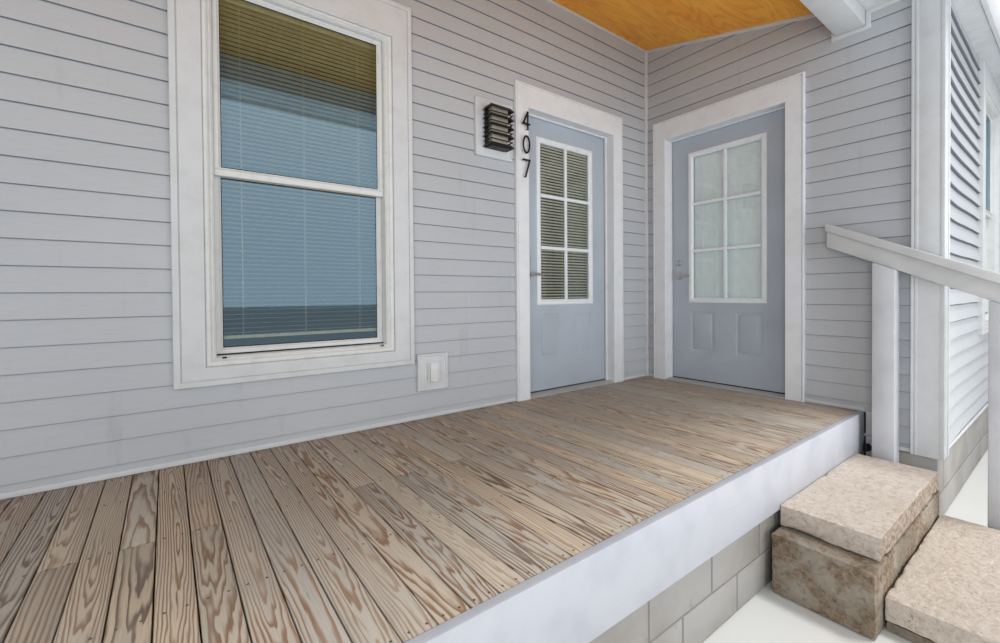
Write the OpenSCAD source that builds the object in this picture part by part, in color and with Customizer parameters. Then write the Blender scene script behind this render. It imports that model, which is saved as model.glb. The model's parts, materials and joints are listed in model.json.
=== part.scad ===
// Front porch set into the corner of a house: two doors, a tall sash window,
// a timber deck on block footings, two stone steps and a handrail.

/* [Porch] */
// Length of the back wall from the open end to the inside corner
porch_l = 4750; // [4300:10:5600]
// Distance from the back wall to the outer face of the deck fascia
porch_d = 1571; // [1500:1:1600]
// Height of the deck boards above the ground
deck_h = 580; // [540:5:640]
// Thickness of the deck boards
deck_t = 25; // [20:1:32]
// Thickness of the white fascia round the deck
fascia_t = 32; // [20:1:40]
// Height of the white fascia
fascia_h = 245; // [200:5:245]
// Width of a deck or floor joist
joist_w = 38; // [30:1:50]
// Number of deck joists between the front rim and the back wall
deck_joist_n = 3; // [2:1:3]
// Distance between deck joists
joist_pitch = 406; // [300:2:420]

/* [House walls] */
// Thickness of the framed walls
wall_t = 115; // [100:1:140]
// How far the side wall runs out from the back wall to its sheathing corner
side_l = 1895; // [1860:5:2000]
// Length of the front wall from the outer corner to the end wall
front_l = 2850; // [2750:10:3400]
// Height of the timber band between the foundation and the walls
band_h = 198; // [160:1:220]
// Thickness of the block foundations
block_t = 190; // [150:5:200]
// Width of a face of an outer corner board
corner_w = 105; // [80:1:130]
// How far trim boards and casings stand out of the sheathing
trim_t = 32; // [20:1:36]
// Side of the square trim in the inside corner
inside_w = 28; // [20:1:36]
// Height of the white strip along the foot of the walls
base_h = 24; // [16:1:40]

/* [Roof] */
// Height of the ceiling above the deck at the back wall
ceiling_h = 2912; // [2880:5:3050]
// Fall of the ceiling towards the front for each unit of depth
ceiling_fall = 0.25; // [0.22:0.01:0.26]
// Thickness of the ceiling panels
ceiling_t = 12; // [8:1:18]
// Thickness of the roof above the ceiling
roof_t = 190; // [150:5:240]
// How far the eave stands out from the front wall sheathing
eave_out = 140; // [110:5:200]
// Drop from the ceiling at the outer face of the beam to the flat eave soffit
soffit_drop = 53; // [45:1:70]
// Thickness of the soffit boards and of the eave fascia
soffit_t = 12; // [8:1:16]
// How far the roof stands out past the end walls
rake_out = 120; // [60:5:200]
// Thickness of the eave and rake boards
eave_board_t = 22; // [16:1:30]
// Width of the boxed beam
beam_w = 150; // [120:1:170]
// Height of the underside of the beam above the deck
beam_h = 2375; // [2340:1:2390]
// Side of the boxed post at the open end
post_w = 140; // [110:1:150]
// Height of the plinth and cap blocks of the post
post_block_h = 110; // [60:5:160]
// How far those blocks stand out from the post
post_block_out = 10; // [4:1:12]

/* [Doors] */
// Width of a door slab
door_w = 914; // [860:2:930]
// Height of a door slab
door_h = 2032; // [1980:2:2060]
// Thickness of a door slab
door_t = 44; // [38:1:46]
// Gap between the slab and the frame beside it and over it
door_gap = 5; // [5:0.5:7]
// Height of the foot of the slab above the deck
door_foot = 21; // [20:0.5:24]
// Height of the sill above the deck
sill_h = 14; // [10:0.5:14]
// Thickness of the door frame boards
jamb_t = 18; // [14:1:22]
// How far the door stop stands into the opening
stop_w = 10; // [8:0.5:12]
// Width of the casing boards beside a door
casing_w = 117; // [90:1:125]
// Height of the casing board over a door
head_w = 165; // [120:1:180]
// Distance from the inside corner to the middle of the back door
back_door_x = 945; // [900:5:1000]
// Distance from the inside corner to the middle of the side door
side_door_y = 673; // [660:1:700]
// Width of the glazed light in a door over its frame
lite_w = 614; // [560:2:640]
// Height of the door over the frame of its glazed light
lite_head = 133; // [110:1:180]
// Height of the foot of the light above the foot of the door
lite_foot = 641; // [620:1:680]
// Width of the frame round the light
lite_bar = 43; // [26:1:48]
// How far the light frame stands out of the slab
lite_out = 8; // [5:0.5:10]
// Depth of the pressed panel grooves
groove_d = 5; // [3:0.5:7]
// Width of the pressed panel grooves
groove_w = 26; // [16:1:32]
// Height of the lever above the foot of the door
lever_h = 868; // [840:2:900]
// Height of the bolt above the lever
bolt_up = 112; // [100:2:140]
// Distance from the edge of the door to the lever and bolt
backset = 62; // [58:1:66]

/* [Windows] */
// Width of a window over its frame
window_w = 904; // [820:2:940]
// Height of a window over its frame
window_h = 1785; // [1700:5:1800]
// Height of the foot of the back window above the deck
back_window_z = 425; // [400:5:440]
// Distance from the inside corner to the middle of the back window
back_window_x = 2874; // [2700:2:3000]
// Height of the casing over the front window, under the eave soffit
front_head_w = 179; // [150:1:190]
// Distance from the outer corner to the middle of the front window
front_window_x = 1992; // [1900:4:2100]
// Width of the window casing at the sides
window_side_w = 120; // [90:1:125]
// Width of the window casing over the head
window_head_w = 203; // [150:1:210]
// Width of the window casing at the foot
window_foot_w = 86; // [70:1:100]
// Width of a window frame member
frame_bar = 42; // [36:1:50]
// Height of the head member of a window frame
frame_head = 24; // [20:1:44]
// Width of a sash stile
sash_bar = 30; // [24:1:46]
// Height of the rail at the head of the upper sash
sash_head = 22; // [18:1:44]
// Height of the meeting rails in the middle of a window
sash_meet = 40; // [30:1:50]
// Height of the rail at the foot of the lower sash
sash_foot = 34; // [28:1:64]
// Thickness of a pane of glass
glass_t = 4; // [3:0.5:6]

/* [Steps and handrail] */
// Depth of each step
tread_d = 360; // [320:5:400]
// Length of the steps along the deck
step_l = 1072; // [900:4:1200]
// Distance from the side wall to the end of the steps
step_off = 178; // [160:2:220]
// Thickness of the stone slabs
slab_t = 96; // [80:2:100]
// Drop from the deck to the upper slab
step_drop = 220; // [200:2:230]
// Drop from the upper slab to the lower slab
step_rise = 220; // [180:2:225]
// How far the block under the upper slab stands out past its end
riser_out = 100; // [20:2:120]
// Side of a square handrail post
rail_post_w = 104; // [85:1:110]
// Distance from the deck fascia to the upper handrail post
rail_post_gap = 66; // [50:2:90]
// Distance between the fronts of the two handrail posts
rail_span = 570; // [540:5:600]
// Height of the top of the handrail above the deck at the fascia
rail_top = 1098; // [1050:1:1140]
// Fall of the handrail for each unit of length
rail_fall = 0.4755; // [0.42:0.0005:0.5]
// Thickness of the flat handrail cap
rail_cap_t = 46; // [36:1:52]
// Width of the flat handrail cap
rail_cap_w = 98; // [94:1:100]
// Height of the board under the cap
rail_board_h = 90; // [75:1:100]
// Thickness of the board under the cap
rail_board_t = 40; // [34:1:50]
// How far the rail runs past the outer faces of its posts
rail_over = 62; // [50:1:80]
// How far the upper end of the rail reaches over the deck
rail_in = 171; // [120:1:180]

/* [Fixtures] */
// Distance from the inside corner to the middle of the wall light
light_x = 1706; // [1680:1:1710]
// Height of the middle of the wall light block above the deck
light_z = 1838; // [1780:2:1860]
// Width of the wall light block
light_block_w = 300; // [260:2:300]
// Height of the wall light block
light_block_h = 375; // [340:5:400]
// Width of the wall light
light_w = 196; // [160:2:210]
// Height of the wall light
light_h = 266; // [220:2:280]
// How far the wall light stands out of its block
light_d = 96; // [80:1:110]
// Number of louvre blades round the wall light
blade_n = 4; // [3:1:6]
// Distance from the inside corner to the middle of the outlet block
outlet_x = 2181; // [2160:2:2200]
// Height of the middle of the outlet block above the deck
outlet_z = 281; // [260:2:300]
// Width of the outlet block
outlet_w = 203; // [180:1:206]
// Height of the outlet block
outlet_h = 220; // [190:2:230]

/* [Hidden] */

$fn = 48;
// Overlap that keeps a cut clean
cut = 1;
// Clearance between a turning shaft or knuckle and its seat
turn_gap = 0.3;
// Gap between the deck and what stands beside it
deck_gap = 3;
// Half of the clear width and the clear height of a doorway inside its frame
door_half = door_w / 2 + door_gap;
door_top = door_foot + door_h + door_gap;
// Rough opening of a doorway and of a window
rough_half = door_half + jamb_t;
rough_top = door_top + jamb_t;
// Depth of the outer face of a slab, whose inner face is just inside the wall
slab_in = 3;
slab_face = wall_t - slab_in - door_t;
// Inner and outer faces of the beam and of the fascia
beam_out = porch_d + 4;
beam_in = beam_out - beam_w;
rim_y = porch_d - fascia_t;
// Eave line and the outline of the roof
eave_y = side_l + eave_out;
lite_h = door_h - lite_foot - lite_head;
roof_x0 = -porch_l - rake_out;
roof_x1 = front_l + rake_out;
roof_y1 = block_t;
// Place of the steps and of the handrail
riser_nose = 7;
step_y0 = porch_d;
step_y1 = step_y0 + tread_d;
step_y2 = step_y1 + riser_nose + tread_d;
post_y0 = porch_d + rail_post_gap;
post_y1 = post_y0 + rail_span;
rail_y1 = post_y1 + rail_over;
rail_y0 = porch_d - rail_in;
rail_x = -trim_t - rail_cap_w / 2;
post_x = -trim_t - 2 - rail_post_w / 2;
// The whole part is set over the middle of its own outline
y_front = max(rail_y1, step_y2);
shift = [-(roof_x0 + roof_x1) / 2, (y_front - roof_y1) / 2, 0];

// Height of the ceiling above the ground at a distance out from the back wall
function ceiling_z(out) = deck_h + ceiling_h - ceiling_fall * out;
// Height of the underside of the roof, which lies on the ceiling panels
function roof_z(out) = ceiling_z(out) + ceiling_t;
soffit_h = ceiling_h - ceiling_fall * beam_out - soffit_drop;
soffit_z = deck_h + soffit_h;
eave_z = soffit_z + soffit_t;

module place() { translate(shift) children(); }

// A box from one corner to the opposite corner, with the heights above the ground
module block(a, b) { translate(a) cube(b - a); }

// A profile drawn in the plane that looks along X, with y outwards and z up, from x0 to x1
module along_x(x0, x1) {
    translate([x0, 0, 0]) rotate([90, 0, 90]) linear_extrude(x1 - x0) children();
}

// A flat frame standing in the XZ plane, centred on x, from z0, between two depths
module ring(x, z0, w, h, side, foot, head, y0, y1) {
    difference() {
        block([x - w / 2, y0, z0], [x + w / 2, y1, z0 + h]);
        block([x - w / 2 + side, y0 - cut, z0 + foot], [x + w / 2 - side, y1 + cut, z0 + h - head]);
    }
}

// What stands in the back wall is drawn there, with x as its middle, and this turns it into the side wall
module side_wall_place(y) { translate([0, -y, 0]) rotate([0, 0, -90]) children(); }

module deck_floor() {
    color("burlywood")
        block([-porch_l + fascia_t, -rim_y, deck_h - deck_t], [-deck_gap, 0, deck_h]);
}

module deck_fascia() {
    color("white") {
        difference() {
            block([-porch_l, -porch_d, deck_h - fascia_h], [-2 * deck_gap, 0, deck_h]);
            block([-porch_l + fascia_t, -rim_y, deck_h - fascia_h - cut], [cut, cut, deck_h + cut]);
        }
    }
}

joist_z0 = deck_h - band_h;
joist_z1 = deck_h - deck_t;
module deck_joists() {
    x0 = -porch_l + fascia_t;
    x1 = -deck_gap;
    color("tan") {
        block([x0, -rim_y, joist_z0], [x1, -rim_y + joist_w, joist_z1]);
        block([x0, -joist_w, joist_z0], [x1, 0, joist_z1]);
        for (i = [1 : deck_joist_n])
            translate([0, joist_pitch * i - rim_y, 0])
                block([x0, 0, joist_z0], [x1, joist_w, joist_z1]);
        block([x0, -rim_y, joist_z0], [x0 + joist_w, 0, joist_z1]);
        block([x1 - joist_w, -rim_y, joist_z0], [x1, 0, joist_z1]);
    }
}

module deck_foundation() {
    x0 = -porch_l + fascia_t;
    color("gainsboro") {
        block([x0, -rim_y, 0], [0, -rim_y + block_t, joist_z0]);
        block([x0, -rim_y + block_t, 0], [x0 + block_t, 0, joist_z0]);
    }
}

module house_foundation() {
    color("lightgray") {
        block([-porch_l, 0, 0], [block_t, block_t, joist_z0]);
        block([0, -side_l, 0], [block_t, 0, joist_z0]);
        block([0, -side_l, 0], [front_l, -side_l + block_t, joist_z0]);
        block([front_l - block_t, -side_l, 0], [front_l, block_t, joist_z0]);
    }
}

floor_t = 22;
room_joist_n = 4;
module floor_framing() {
    pitch = (side_l - 2 * wall_t) / (room_joist_n + 1);
    color("tan") {
        block([-porch_l, 0, joist_z0], [wall_t, wall_t, deck_h]);
        block([0, -side_l, joist_z0], [wall_t, 0, deck_h]);
        block([0, -side_l, joist_z0], [front_l, -side_l + wall_t, deck_h]);
        block([front_l - wall_t, -side_l, joist_z0], [front_l, wall_t, deck_h]);
        for (i = [1 : room_joist_n])
            translate([0, -side_l + wall_t + pitch * i, 0])
                block([0, 0, joist_z0], [front_l, joist_w, deck_h - floor_t]);
    }
}

module room_floor() {
    color("peru")
        block([wall_t, -side_l + wall_t, deck_h - floor_t], [front_l - wall_t, wall_t, deck_h]);
}

// Outline of a wall that runs out from the back wall, up to the roof above it
module side_profile(out0, out1) {
    flat = out1 > beam_out;
    slope_end = min(out1, beam_out);
    polygon(concat(
        [[-out0, deck_h], [-out0, roof_z(out0)], [-slope_end, roof_z(slope_end)]],
        flat ? [[-beam_out, eave_z], [-out1, eave_z]] : [],
        [[-out1, deck_h]]));
}

module back_profile(z0) {
    polygon([[0, z0], [wall_t, z0], [wall_t, roof_z(-wall_t)], [0, roof_z(0)]]);
}

wall_color = "lightsteelblue";
module wall_back() {
    color(wall_color)
        difference() {
            along_x(-porch_l, -back_door_x - rough_half) back_profile(deck_h);
            block([-back_window_x - window_w / 2, -cut, deck_h + back_window_z],
                [-back_window_x + window_w / 2, wall_t + cut, deck_h + back_window_z + window_h]);
        }
}

module wall_back_over_door() {
    color(wall_color)
        along_x(-back_door_x - rough_half, -back_door_x + rough_half) back_profile(deck_h + rough_top);
}

module wall_corner() {
    color(wall_color) {
        along_x(-back_door_x + rough_half, wall_t) back_profile(deck_h);
        along_x(0, wall_t) side_profile(0, side_door_y - rough_half);
    }
}

module wall_side_over_door() {
    color(wall_color)
        intersection() {
            along_x(0, wall_t) side_profile(side_door_y - rough_half, side_door_y + rough_half);
            block([-cut, -side_l, deck_h + rough_top], [wall_t + cut, 0, roof_z(0)]);
        }
}

module wall_side() {
    color(wall_color)
        along_x(0, wall_t) side_profile(side_door_y + rough_half, side_l);
}

module wall_front() {
    color(wall_color)
        difference() {
            block([wall_t, -side_l, deck_h], [front_l - wall_t, -side_l + wall_t, eave_z]);
            block([front_window_x - window_w / 2, -side_l - cut, deck_h + front_window_z],
                [front_window_x + window_w / 2, -side_l + wall_t + cut,
                    deck_h + front_window_z + window_h]);
        }
}

module wall_end() {
    color(wall_color)
        along_x(front_l - wall_t, front_l) union() {
            side_profile(0, side_l);
            back_profile(deck_h);
        }
}

// Outer corner board in plan, as an angle of two boards round a corner at the origin
module corner_angle(z0, z1) {
    difference() {
        block([-trim_t, -trim_t, z0], [corner_w, corner_w, z1]);
        block([0, 0, z0 - cut], [corner_w + cut, corner_w + cut, z1 + cut]);
    }
}

module wall_trim() {
    corner_z0 = joist_z0;
    color("whitesmoke") {
        // trim in the inside corner, cut to the slope of the ceiling
        intersection() {
            along_x(-inside_w, 0) polygon([[0, deck_h], [-inside_w, deck_h],
                [-inside_w, ceiling_z(inside_w)], [0, ceiling_z(0)]]);
            block([-inside_w, -inside_w, deck_h], [0, 0, ceiling_z(0)]);
        }
        // boards round the outer corner, the end of the front wall and the end of the back wall
        translate([0, -side_l, 0]) corner_angle(corner_z0, soffit_z);
        translate([front_l, -side_l, 0]) mirror([1, 0, 0]) corner_angle(corner_z0, soffit_z);
        along_x(-porch_l, -porch_l + corner_w) polygon([[0, deck_h], [-trim_t, deck_h],
            [-trim_t, ceiling_z(trim_t)], [0, ceiling_z(0)]]);
    }
}

// Strips along the foot of the walls between the casings and the trims
module base_strips() {
    side = door_half + casing_w;
    color("whitesmoke") {
        block([-porch_l + corner_w, -base_h / 2, deck_h],
            [-back_door_x - side, 0, deck_h + base_h]);
        block([-back_door_x + side, -base_h / 2, deck_h], [-inside_w, 0, deck_h + base_h]);
        block([-base_h / 2, -porch_d, deck_h], [0, -side_door_y - side, deck_h + base_h]);
        block([-base_h / 2, -side_door_y + side, deck_h], [0, -inside_w, deck_h + base_h]);
    }
}

// Casing, frame, glass and blind of a sash window in a wall whose sheathing is at y = 0
module window_casing(head) {
    ring(0, -window_foot_w, window_w + 2 * window_side_w, window_h + head + window_foot_w,
        window_side_w, window_foot_w, head, -trim_t, 0);
}

sash_gap = 3;
sash_t = 25;
sash_y = 18;
frame_out = 6;
frame_in = 12;
sash_h = (window_h - frame_bar - frame_head + sash_meet) / 2;
module window_frame(x, z0) {
    ring(x, z0, window_w, window_h, frame_bar, frame_bar, frame_head, -frame_out, wall_t - frame_in);
    sash_w = window_w - 2 * frame_bar;
    // upper sash outside, lower sash inside, overlapping at the meeting rail
    ring(x, z0 + window_h - frame_head - sash_h, sash_w, sash_h, sash_bar, sash_meet, sash_head,
        sash_y, sash_y + sash_t);
    ring(x, z0 + frame_bar, sash_w, sash_h, sash_bar, sash_foot, sash_meet,
        sash_y + sash_t + sash_gap, sash_y + 2 * sash_t + sash_gap);
}

module window_panes(x, z0) {
    half = window_w / 2 - frame_bar - sash_bar;
    upper_z = z0 + window_h - frame_head - sash_h;
    upper_y = sash_y + (sash_t - glass_t) / 2;
    lower_y = upper_y + sash_t + sash_gap;
    block([x - half, upper_y, upper_z + sash_meet],
        [x + half, upper_y + glass_t, upper_z + sash_h - sash_head]);
    block([x - half, lower_y, z0 + frame_bar + sash_foot],
        [x + half, lower_y + glass_t, z0 + frame_bar + sash_h - sash_meet]);
}

// A blind hangs on the room side, clear of the lower sash
blind_t = 5;
blind_gap = 90;
module window_blind(x, z0) {
    half = window_w / 2 - frame_bar;
    z1 = z0 + window_h - frame_head;
    block([x - half, wall_t - frame_in - blind_t, z0 + frame_bar + blind_gap],
        [x + half, wall_t - frame_in, z1]);
}

// The front window hangs from the eave soffit
front_window_z = soffit_h - 1 - front_head_w - window_h;
module back_window_place() { translate([-back_window_x, 0, deck_h + back_window_z]) children(); }
module front_window_place() {
    translate([front_window_x, -side_l, deck_h + front_window_z]) children();
}

module each_window() {
    back_window_place() children();
    front_window_place() children();
}

module window_casings() {
    color("white") {
        back_window_place() window_casing(window_head_w);
        front_window_place() window_casing(front_head_w);
    }
}
module window_frames() { color("whitesmoke") each_window() window_frame(0, 0); }
module window_glass() { color("slategray") each_window() window_panes(0, 0); }
module window_blinds() { color("linen") each_window() window_blind(0, 0); }

// Door parts are drawn round x = 0 with the sheathing at y = 0, the sill at the deck and
// the hinges at +x; the back door is moved along the wall and the side door is turned
module back_door_place() { translate([-back_door_x, 0, deck_h]) children(); }
module side_door_set() { translate([0, 0, deck_h]) side_wall_place(side_door_y) children(); }

module door_frame() {
    color("white") {
        // jambs and head, with the stop outside the slab
        difference() {
            block([-rough_half, 0, 0], [rough_half, wall_t, rough_top]);
            block([-door_half, -cut, -cut], [door_half, wall_t + cut, door_top]);
        }
        difference() {
            block([-door_half - cut, slab_face - 2 * door_gap - stop_w, 0],
                [door_half + cut, slab_face - door_gap, door_top + cut]);
            block([-door_half + stop_w, -cut, -cut], [door_half - stop_w, wall_t, door_top - stop_w]);
        }
        // casing on the outside
        difference() {
            block([-door_half - casing_w, -trim_t, 0],
                [door_half + casing_w, 0, door_top + head_w]);
            block([-door_half, -trim_t - cut, -cut], [door_half, cut, door_top]);
        }
        // sill between the jambs
        block([-door_half - cut, -trim_t + 4, 0], [door_half + cut, wall_t, sill_h]);
    }
}

// Two pressed panels side by side under the light
panel_z0 = 240;
panel_h = 328;
panel_w = 196;
panel_gap = 170;
module panel_groove(x) {
    ring(x, door_foot + panel_z0, panel_w, panel_h, groove_w, groove_w, groove_w,
        slab_face - cut, slab_face + groove_d);
}

hinge_y = wall_t + 8;
hinge_r = 7;
pin_r = 3.5;
hinge_h = 100;
knuckle_h = hinge_h / 3;
hinge_leaf_t = 2;
hinge_leaf_w = 36;
hinge_x = door_half - door_gap / 2;
hinge_end = 180;
hinge_zs = [door_foot + hinge_end, door_foot + (door_h - hinge_h) / 2,
    door_foot + door_h - hinge_end - hinge_h];
spindle_r = 6;
bore_r = 12;
bolt_r = 18;
lever_x = -door_w / 2 + backset;
lever_z = door_foot + lever_h;

module door_slab() {
    hole_w = lite_w - 2 * lite_bar + 2 * lite_lap;
    hole_h = lite_h - 2 * lite_bar + 2 * lite_lap;
    color("slategray") {
        difference() {
            block([-door_w / 2, slab_face, door_foot],
                [door_w / 2, slab_face + door_t, door_foot + door_h]);
            block([-hole_w / 2, slab_face - cut, door_foot + lite_foot + (lite_h - hole_h) / 2],
                [hole_w / 2, slab_face + door_t + cut, door_foot + lite_foot + (lite_h + hole_h) / 2]);
            for (side = [-1, 1])
                panel_groove(side * (panel_w + panel_gap) / 2);
            translate([lever_x, slab_face - cut, lever_z])
                rotate([-90, 0, 0]) cylinder(r = bore_r, h = door_t + 2 * cut);
        }
        // the door's own hinge leaves and middle knuckles, turning round the fixed pins
        for (z = hinge_zs)
            difference() {
                union() {
                    block([door_w / 2 - cut, slab_face + door_t - hinge_leaf_w, z + knuckle_h + 1],
                        [door_w / 2 + hinge_leaf_t, hinge_y, z + 2 * knuckle_h - 1]);
                    translate([hinge_x, hinge_y, z + knuckle_h + 1])
                        cylinder(r = hinge_r, h = knuckle_h - 2);
                }
                translate([hinge_x, hinge_y, z]) cylinder(r = pin_r + turn_gap, h = hinge_h);
            }
    }
}

module door_hinge_fixed() {
    color("silver")
        for (z = hinge_zs)
            difference() {
                union() {
                    for (k = [0, 2])
                        translate([hinge_x, hinge_y, z + k * knuckle_h])
                            cylinder(r = hinge_r, h = knuckle_h);
                    translate([hinge_x, hinge_y, z]) cylinder(r = pin_r, h = hinge_h);
                    block([hinge_x, wall_t, z], [door_half + hinge_leaf_w, wall_t + hinge_leaf_t, z + hinge_h]);
                }
                // room for the door's own knuckle between the fixed ones
                difference() {
                    translate([hinge_x, hinge_y, z + knuckle_h])
                        cylinder(r = hinge_r + 2, h = knuckle_h);
                    translate([hinge_x, hinge_y, z]) cylinder(r = pin_r, h = hinge_h);
                }
            }
}

lite_lap = 8;
module door_lite() {
    outer_y = slab_face - lite_out;
    inner_y = slab_face + door_t + lite_out;
    z0 = door_foot + lite_foot;
    inner_w = lite_w - 2 * lite_bar;
    inner_h = lite_h - 2 * lite_bar;
    color("white") {
        // frame outside and inside the slab, joined through the hole in it
        ring(0, z0, lite_w, lite_h, lite_bar, lite_bar, lite_bar, outer_y, slab_face);
        ring(0, z0, lite_w, lite_h, lite_bar, lite_bar, lite_bar, slab_face + door_t, inner_y);
        ring(0, z0 + lite_bar - lite_lap, inner_w + 2 * lite_lap, inner_h + 2 * lite_lap,
            lite_lap, lite_lap, lite_lap, outer_y, inner_y);
    }
}

module door_glass() {
    inner_w = lite_w - 2 * lite_bar;
    inner_h = lite_h - 2 * lite_bar;
    y = slab_face + door_t / 2;
    z = door_foot + lite_foot + lite_bar;
    color("lightcyan")
        block([-inner_w / 2, y - 3 * glass_t / 2, z], [inner_w / 2, y + 3 * glass_t / 2, z + inner_h]);
}

// A lever on each side of the door on one spindle
rose_r = 32;
rose_t = 9;
neck_r = 10;
lever_l = 118;
lever_stand = 44;
lever_r = 8;
module lever_arm(y) {
    translate([lever_x, y, lever_z]) {
        sphere(r = neck_r);
        rotate([0, 90, 0]) cylinder(r = lever_r, h = lever_l);
        translate([lever_l, 0, 0]) sphere(r = lever_r);
    }
}

module door_lever() {
    y0 = slab_face - rose_t - lever_stand;
    y1 = slab_face + door_t + rose_t + lever_stand;
    color("dimgray") {
        translate([lever_x, y0, lever_z])
            rotate([-90, 0, 0]) cylinder(r = neck_r, h = y1 - y0);
        lever_arm(y0);
        lever_arm(y1);
    }
}

module door_lock() {
    color("darkgray") {
        for (y = [slab_face - rose_t, slab_face + door_t])
            translate([0, y, 0])
                difference() {
                    translate([lever_x, 0, lever_z])
                        rotate([-90, 0, 0]) cylinder(r = rose_r, h = rose_t);
                    translate([lever_x, -cut, lever_z])
                        rotate([-90, 0, 0]) cylinder(r = neck_r + turn_gap, h = rose_t + 2 * cut);
                }
        // bolt cylinder outside and thumb turn inside
        translate([lever_x, slab_face - 1.6 * rose_t, lever_z + bolt_up])
            rotate([-90, 0, 0]) cylinder(r1 = bolt_r + 4, r2 = bolt_r + 7, h = 1.6 * rose_t);
        translate([lever_x, slab_face + door_t, lever_z + bolt_up])
            rotate([-90, 0, 0]) cylinder(r = bolt_r + 7, h = rose_t);
    }
}

module back_door_frame() { back_door_place() door_frame(); }
module back_door() { back_door_place() door_slab(); }
module back_door_lite() { back_door_place() door_lite(); }
module back_door_glass() { back_door_place() door_glass(); }
module back_door_lever() { back_door_place() door_lever(); }
module back_door_lock() { back_door_place() door_lock(); }
module back_door_hinges() { back_door_place() door_hinge_fixed(); }
module side_door_frame() { side_door_set() door_frame(); }
module side_door() { side_door_set() door_slab(); }
module side_door_lite() { side_door_set() door_lite(); }
module side_door_glass() { side_door_set() door_glass(); }
module side_door_lever() { side_door_set() door_lever(); }
module side_door_lock() { side_door_set() door_lock(); }
module side_door_hinges() { side_door_set() door_hinge_fixed(); }

module ceiling() {
    color("orange")
        along_x(-porch_l, 0)
            polygon([[0, ceiling_z(0)], [0, roof_z(0)], [-beam_in, roof_z(beam_in)],
                [-beam_in, ceiling_z(beam_in)]]);
}

module beam() {
    color("whitesmoke")
        along_x(-porch_l, 0)
            polygon([[-beam_in, deck_h + beam_h], [-beam_in, roof_z(beam_in)],
                [-beam_out, roof_z(beam_out)], [-beam_out, deck_h + beam_h]]);
}

module porch_post() {
    x = -porch_l + post_block_out + post_w / 2;
    y = -(beam_out - post_block_out - post_w / 2) + 4 + 2;
    wide = post_w / 2 + post_block_out;
    half = post_w / 2;
    top = deck_h + beam_h;
    color("whitesmoke")
        translate([x, y, 0]) {
            block([-half, -half, deck_h], [half, half, top]);
            block([-wide, -wide, deck_h], [wide, wide, deck_h + post_block_h]);
            block([-wide, -wide, top - post_block_h], [wide, wide, top]);
        }
}

module roof() {
    color("dimgray")
        along_x(roof_x0 + eave_board_t, roof_x1 - eave_board_t)
            polygon([[roof_y1, roof_z(-roof_y1)], [roof_y1, roof_z(-roof_y1) + roof_t],
                [-eave_y + eave_board_t, roof_z(eave_y - eave_board_t) + roof_t],
                [-eave_y + eave_board_t, eave_z], [-beam_out, eave_z], [-beam_out, roof_z(beam_out)]]);
}

module eave_soffit() {
    color("ivory") {
        block([-porch_l, -eave_y + eave_board_t, soffit_z], [0, -beam_out, eave_z]);
        block([0, -eave_y + eave_board_t, soffit_z], [front_l, -side_l, eave_z]);
    }
}

module eave_boards() {
    lip = 14;
    top = roof_z(eave_y) + roof_t;
    color("white") {
        // fascia along the eave and a rake board at each end
        block([roof_x0, -eave_y, soffit_z - lip], [roof_x1, -eave_y + eave_board_t, top]);
        for (x = [roof_x0, roof_x1 - eave_board_t])
            along_x(x, x + eave_board_t)
                polygon([[roof_y1, roof_z(-roof_y1)], [roof_y1, roof_z(-roof_y1) + roof_t],
                    [-eave_y, top], [-eave_y, soffit_z - lip], [-beam_out, soffit_z - lip],
                    [-beam_out, roof_z(beam_out)]]);
    }
}

step_z1 = deck_h - step_drop;
step_z2 = step_z1 - step_rise;
module step_upper() {
    color("wheat")
        block([-step_off - step_l, -step_y1, step_z1 - slab_t], [-step_off, -step_y0, step_z1]);
}

module step_lower() {
    color("wheat")
        block([-step_off - step_l, -step_y2, step_z2 - slab_t],
            [-step_off, -step_y1 - riser_nose, step_z2]);
}

module step_risers() {
    color("tan") {
        block([-step_off - step_l - riser_out, -step_y1 - riser_nose, 0],
            [-step_off, -step_y0, step_z1 - slab_t]);
        block([-step_off - step_l + riser_nose, -step_y2 + riser_nose, 0],
            [-step_off - riser_nose, -step_y1 - riser_nose - deck_gap, step_z2 - slab_t]);
    }
}

// Height of the top of the rail at a distance out from the back wall
function rail_z(out) = deck_h + rail_top - rail_fall * (out - porch_d);
rail_cos = 1 / sqrt(1 + rail_fall * rail_fall);
cap_drop = rail_cap_t / rail_cos;
board_drop = cap_drop + rail_board_h / rail_cos;
module rail_strip(top, foot) {
    polygon([[-rail_y0, rail_z(rail_y0) - top], [-rail_y1, rail_z(rail_y1) - top],
        [-rail_y1, rail_z(rail_y1) - foot], [-rail_y0, rail_z(rail_y0) - foot]]);
}

module handrail() {
    color("white") {
        along_x(rail_x - rail_cap_w / 2, rail_x + rail_cap_w / 2) rail_strip(0, cap_drop);
        along_x(rail_x - rail_board_t / 2, rail_x + rail_board_t / 2)
            rail_strip(cap_drop - cut, board_drop);
    }
}

seat_gap = 0.3;
module rail_post(out, foot) {
    along_x(post_x - rail_post_w / 2, post_x + rail_post_w / 2)
        polygon([[-out, foot], [-out - rail_post_w, foot],
            [-out - rail_post_w, rail_z(out + rail_post_w) - board_drop - seat_gap],
            [-out, rail_z(out) - board_drop - seat_gap]]);
}

module handrail_posts() {
    color("white") {
        rail_post(post_y0, 0);
        rail_post(post_y1 - rail_post_w, 0);
    }
}

// Blocks that carry the wall light and the outlet on the siding, with a raised rim
module siding_block(x, z, w, h) {
    rim = 14;
    difference() {
        block([x - w / 2, -trim_t, z - h / 2], [x + w / 2, 0, z + h / 2]);
        block([x - w / 2 + rim, -trim_t - cut, z - h / 2 + rim],
            [x + w / 2 - rim, -trim_t + rim_d, z + h / 2 - rim]);
    }
}

rim_d = 6;
module siding_blocks() {
    color("whitesmoke")
        translate([0, 0, deck_h]) {
            siding_block(-light_x, light_z, light_block_w, light_block_h);
            siding_block(-outlet_x, outlet_z, outlet_w, outlet_h);
        }
}

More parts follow.
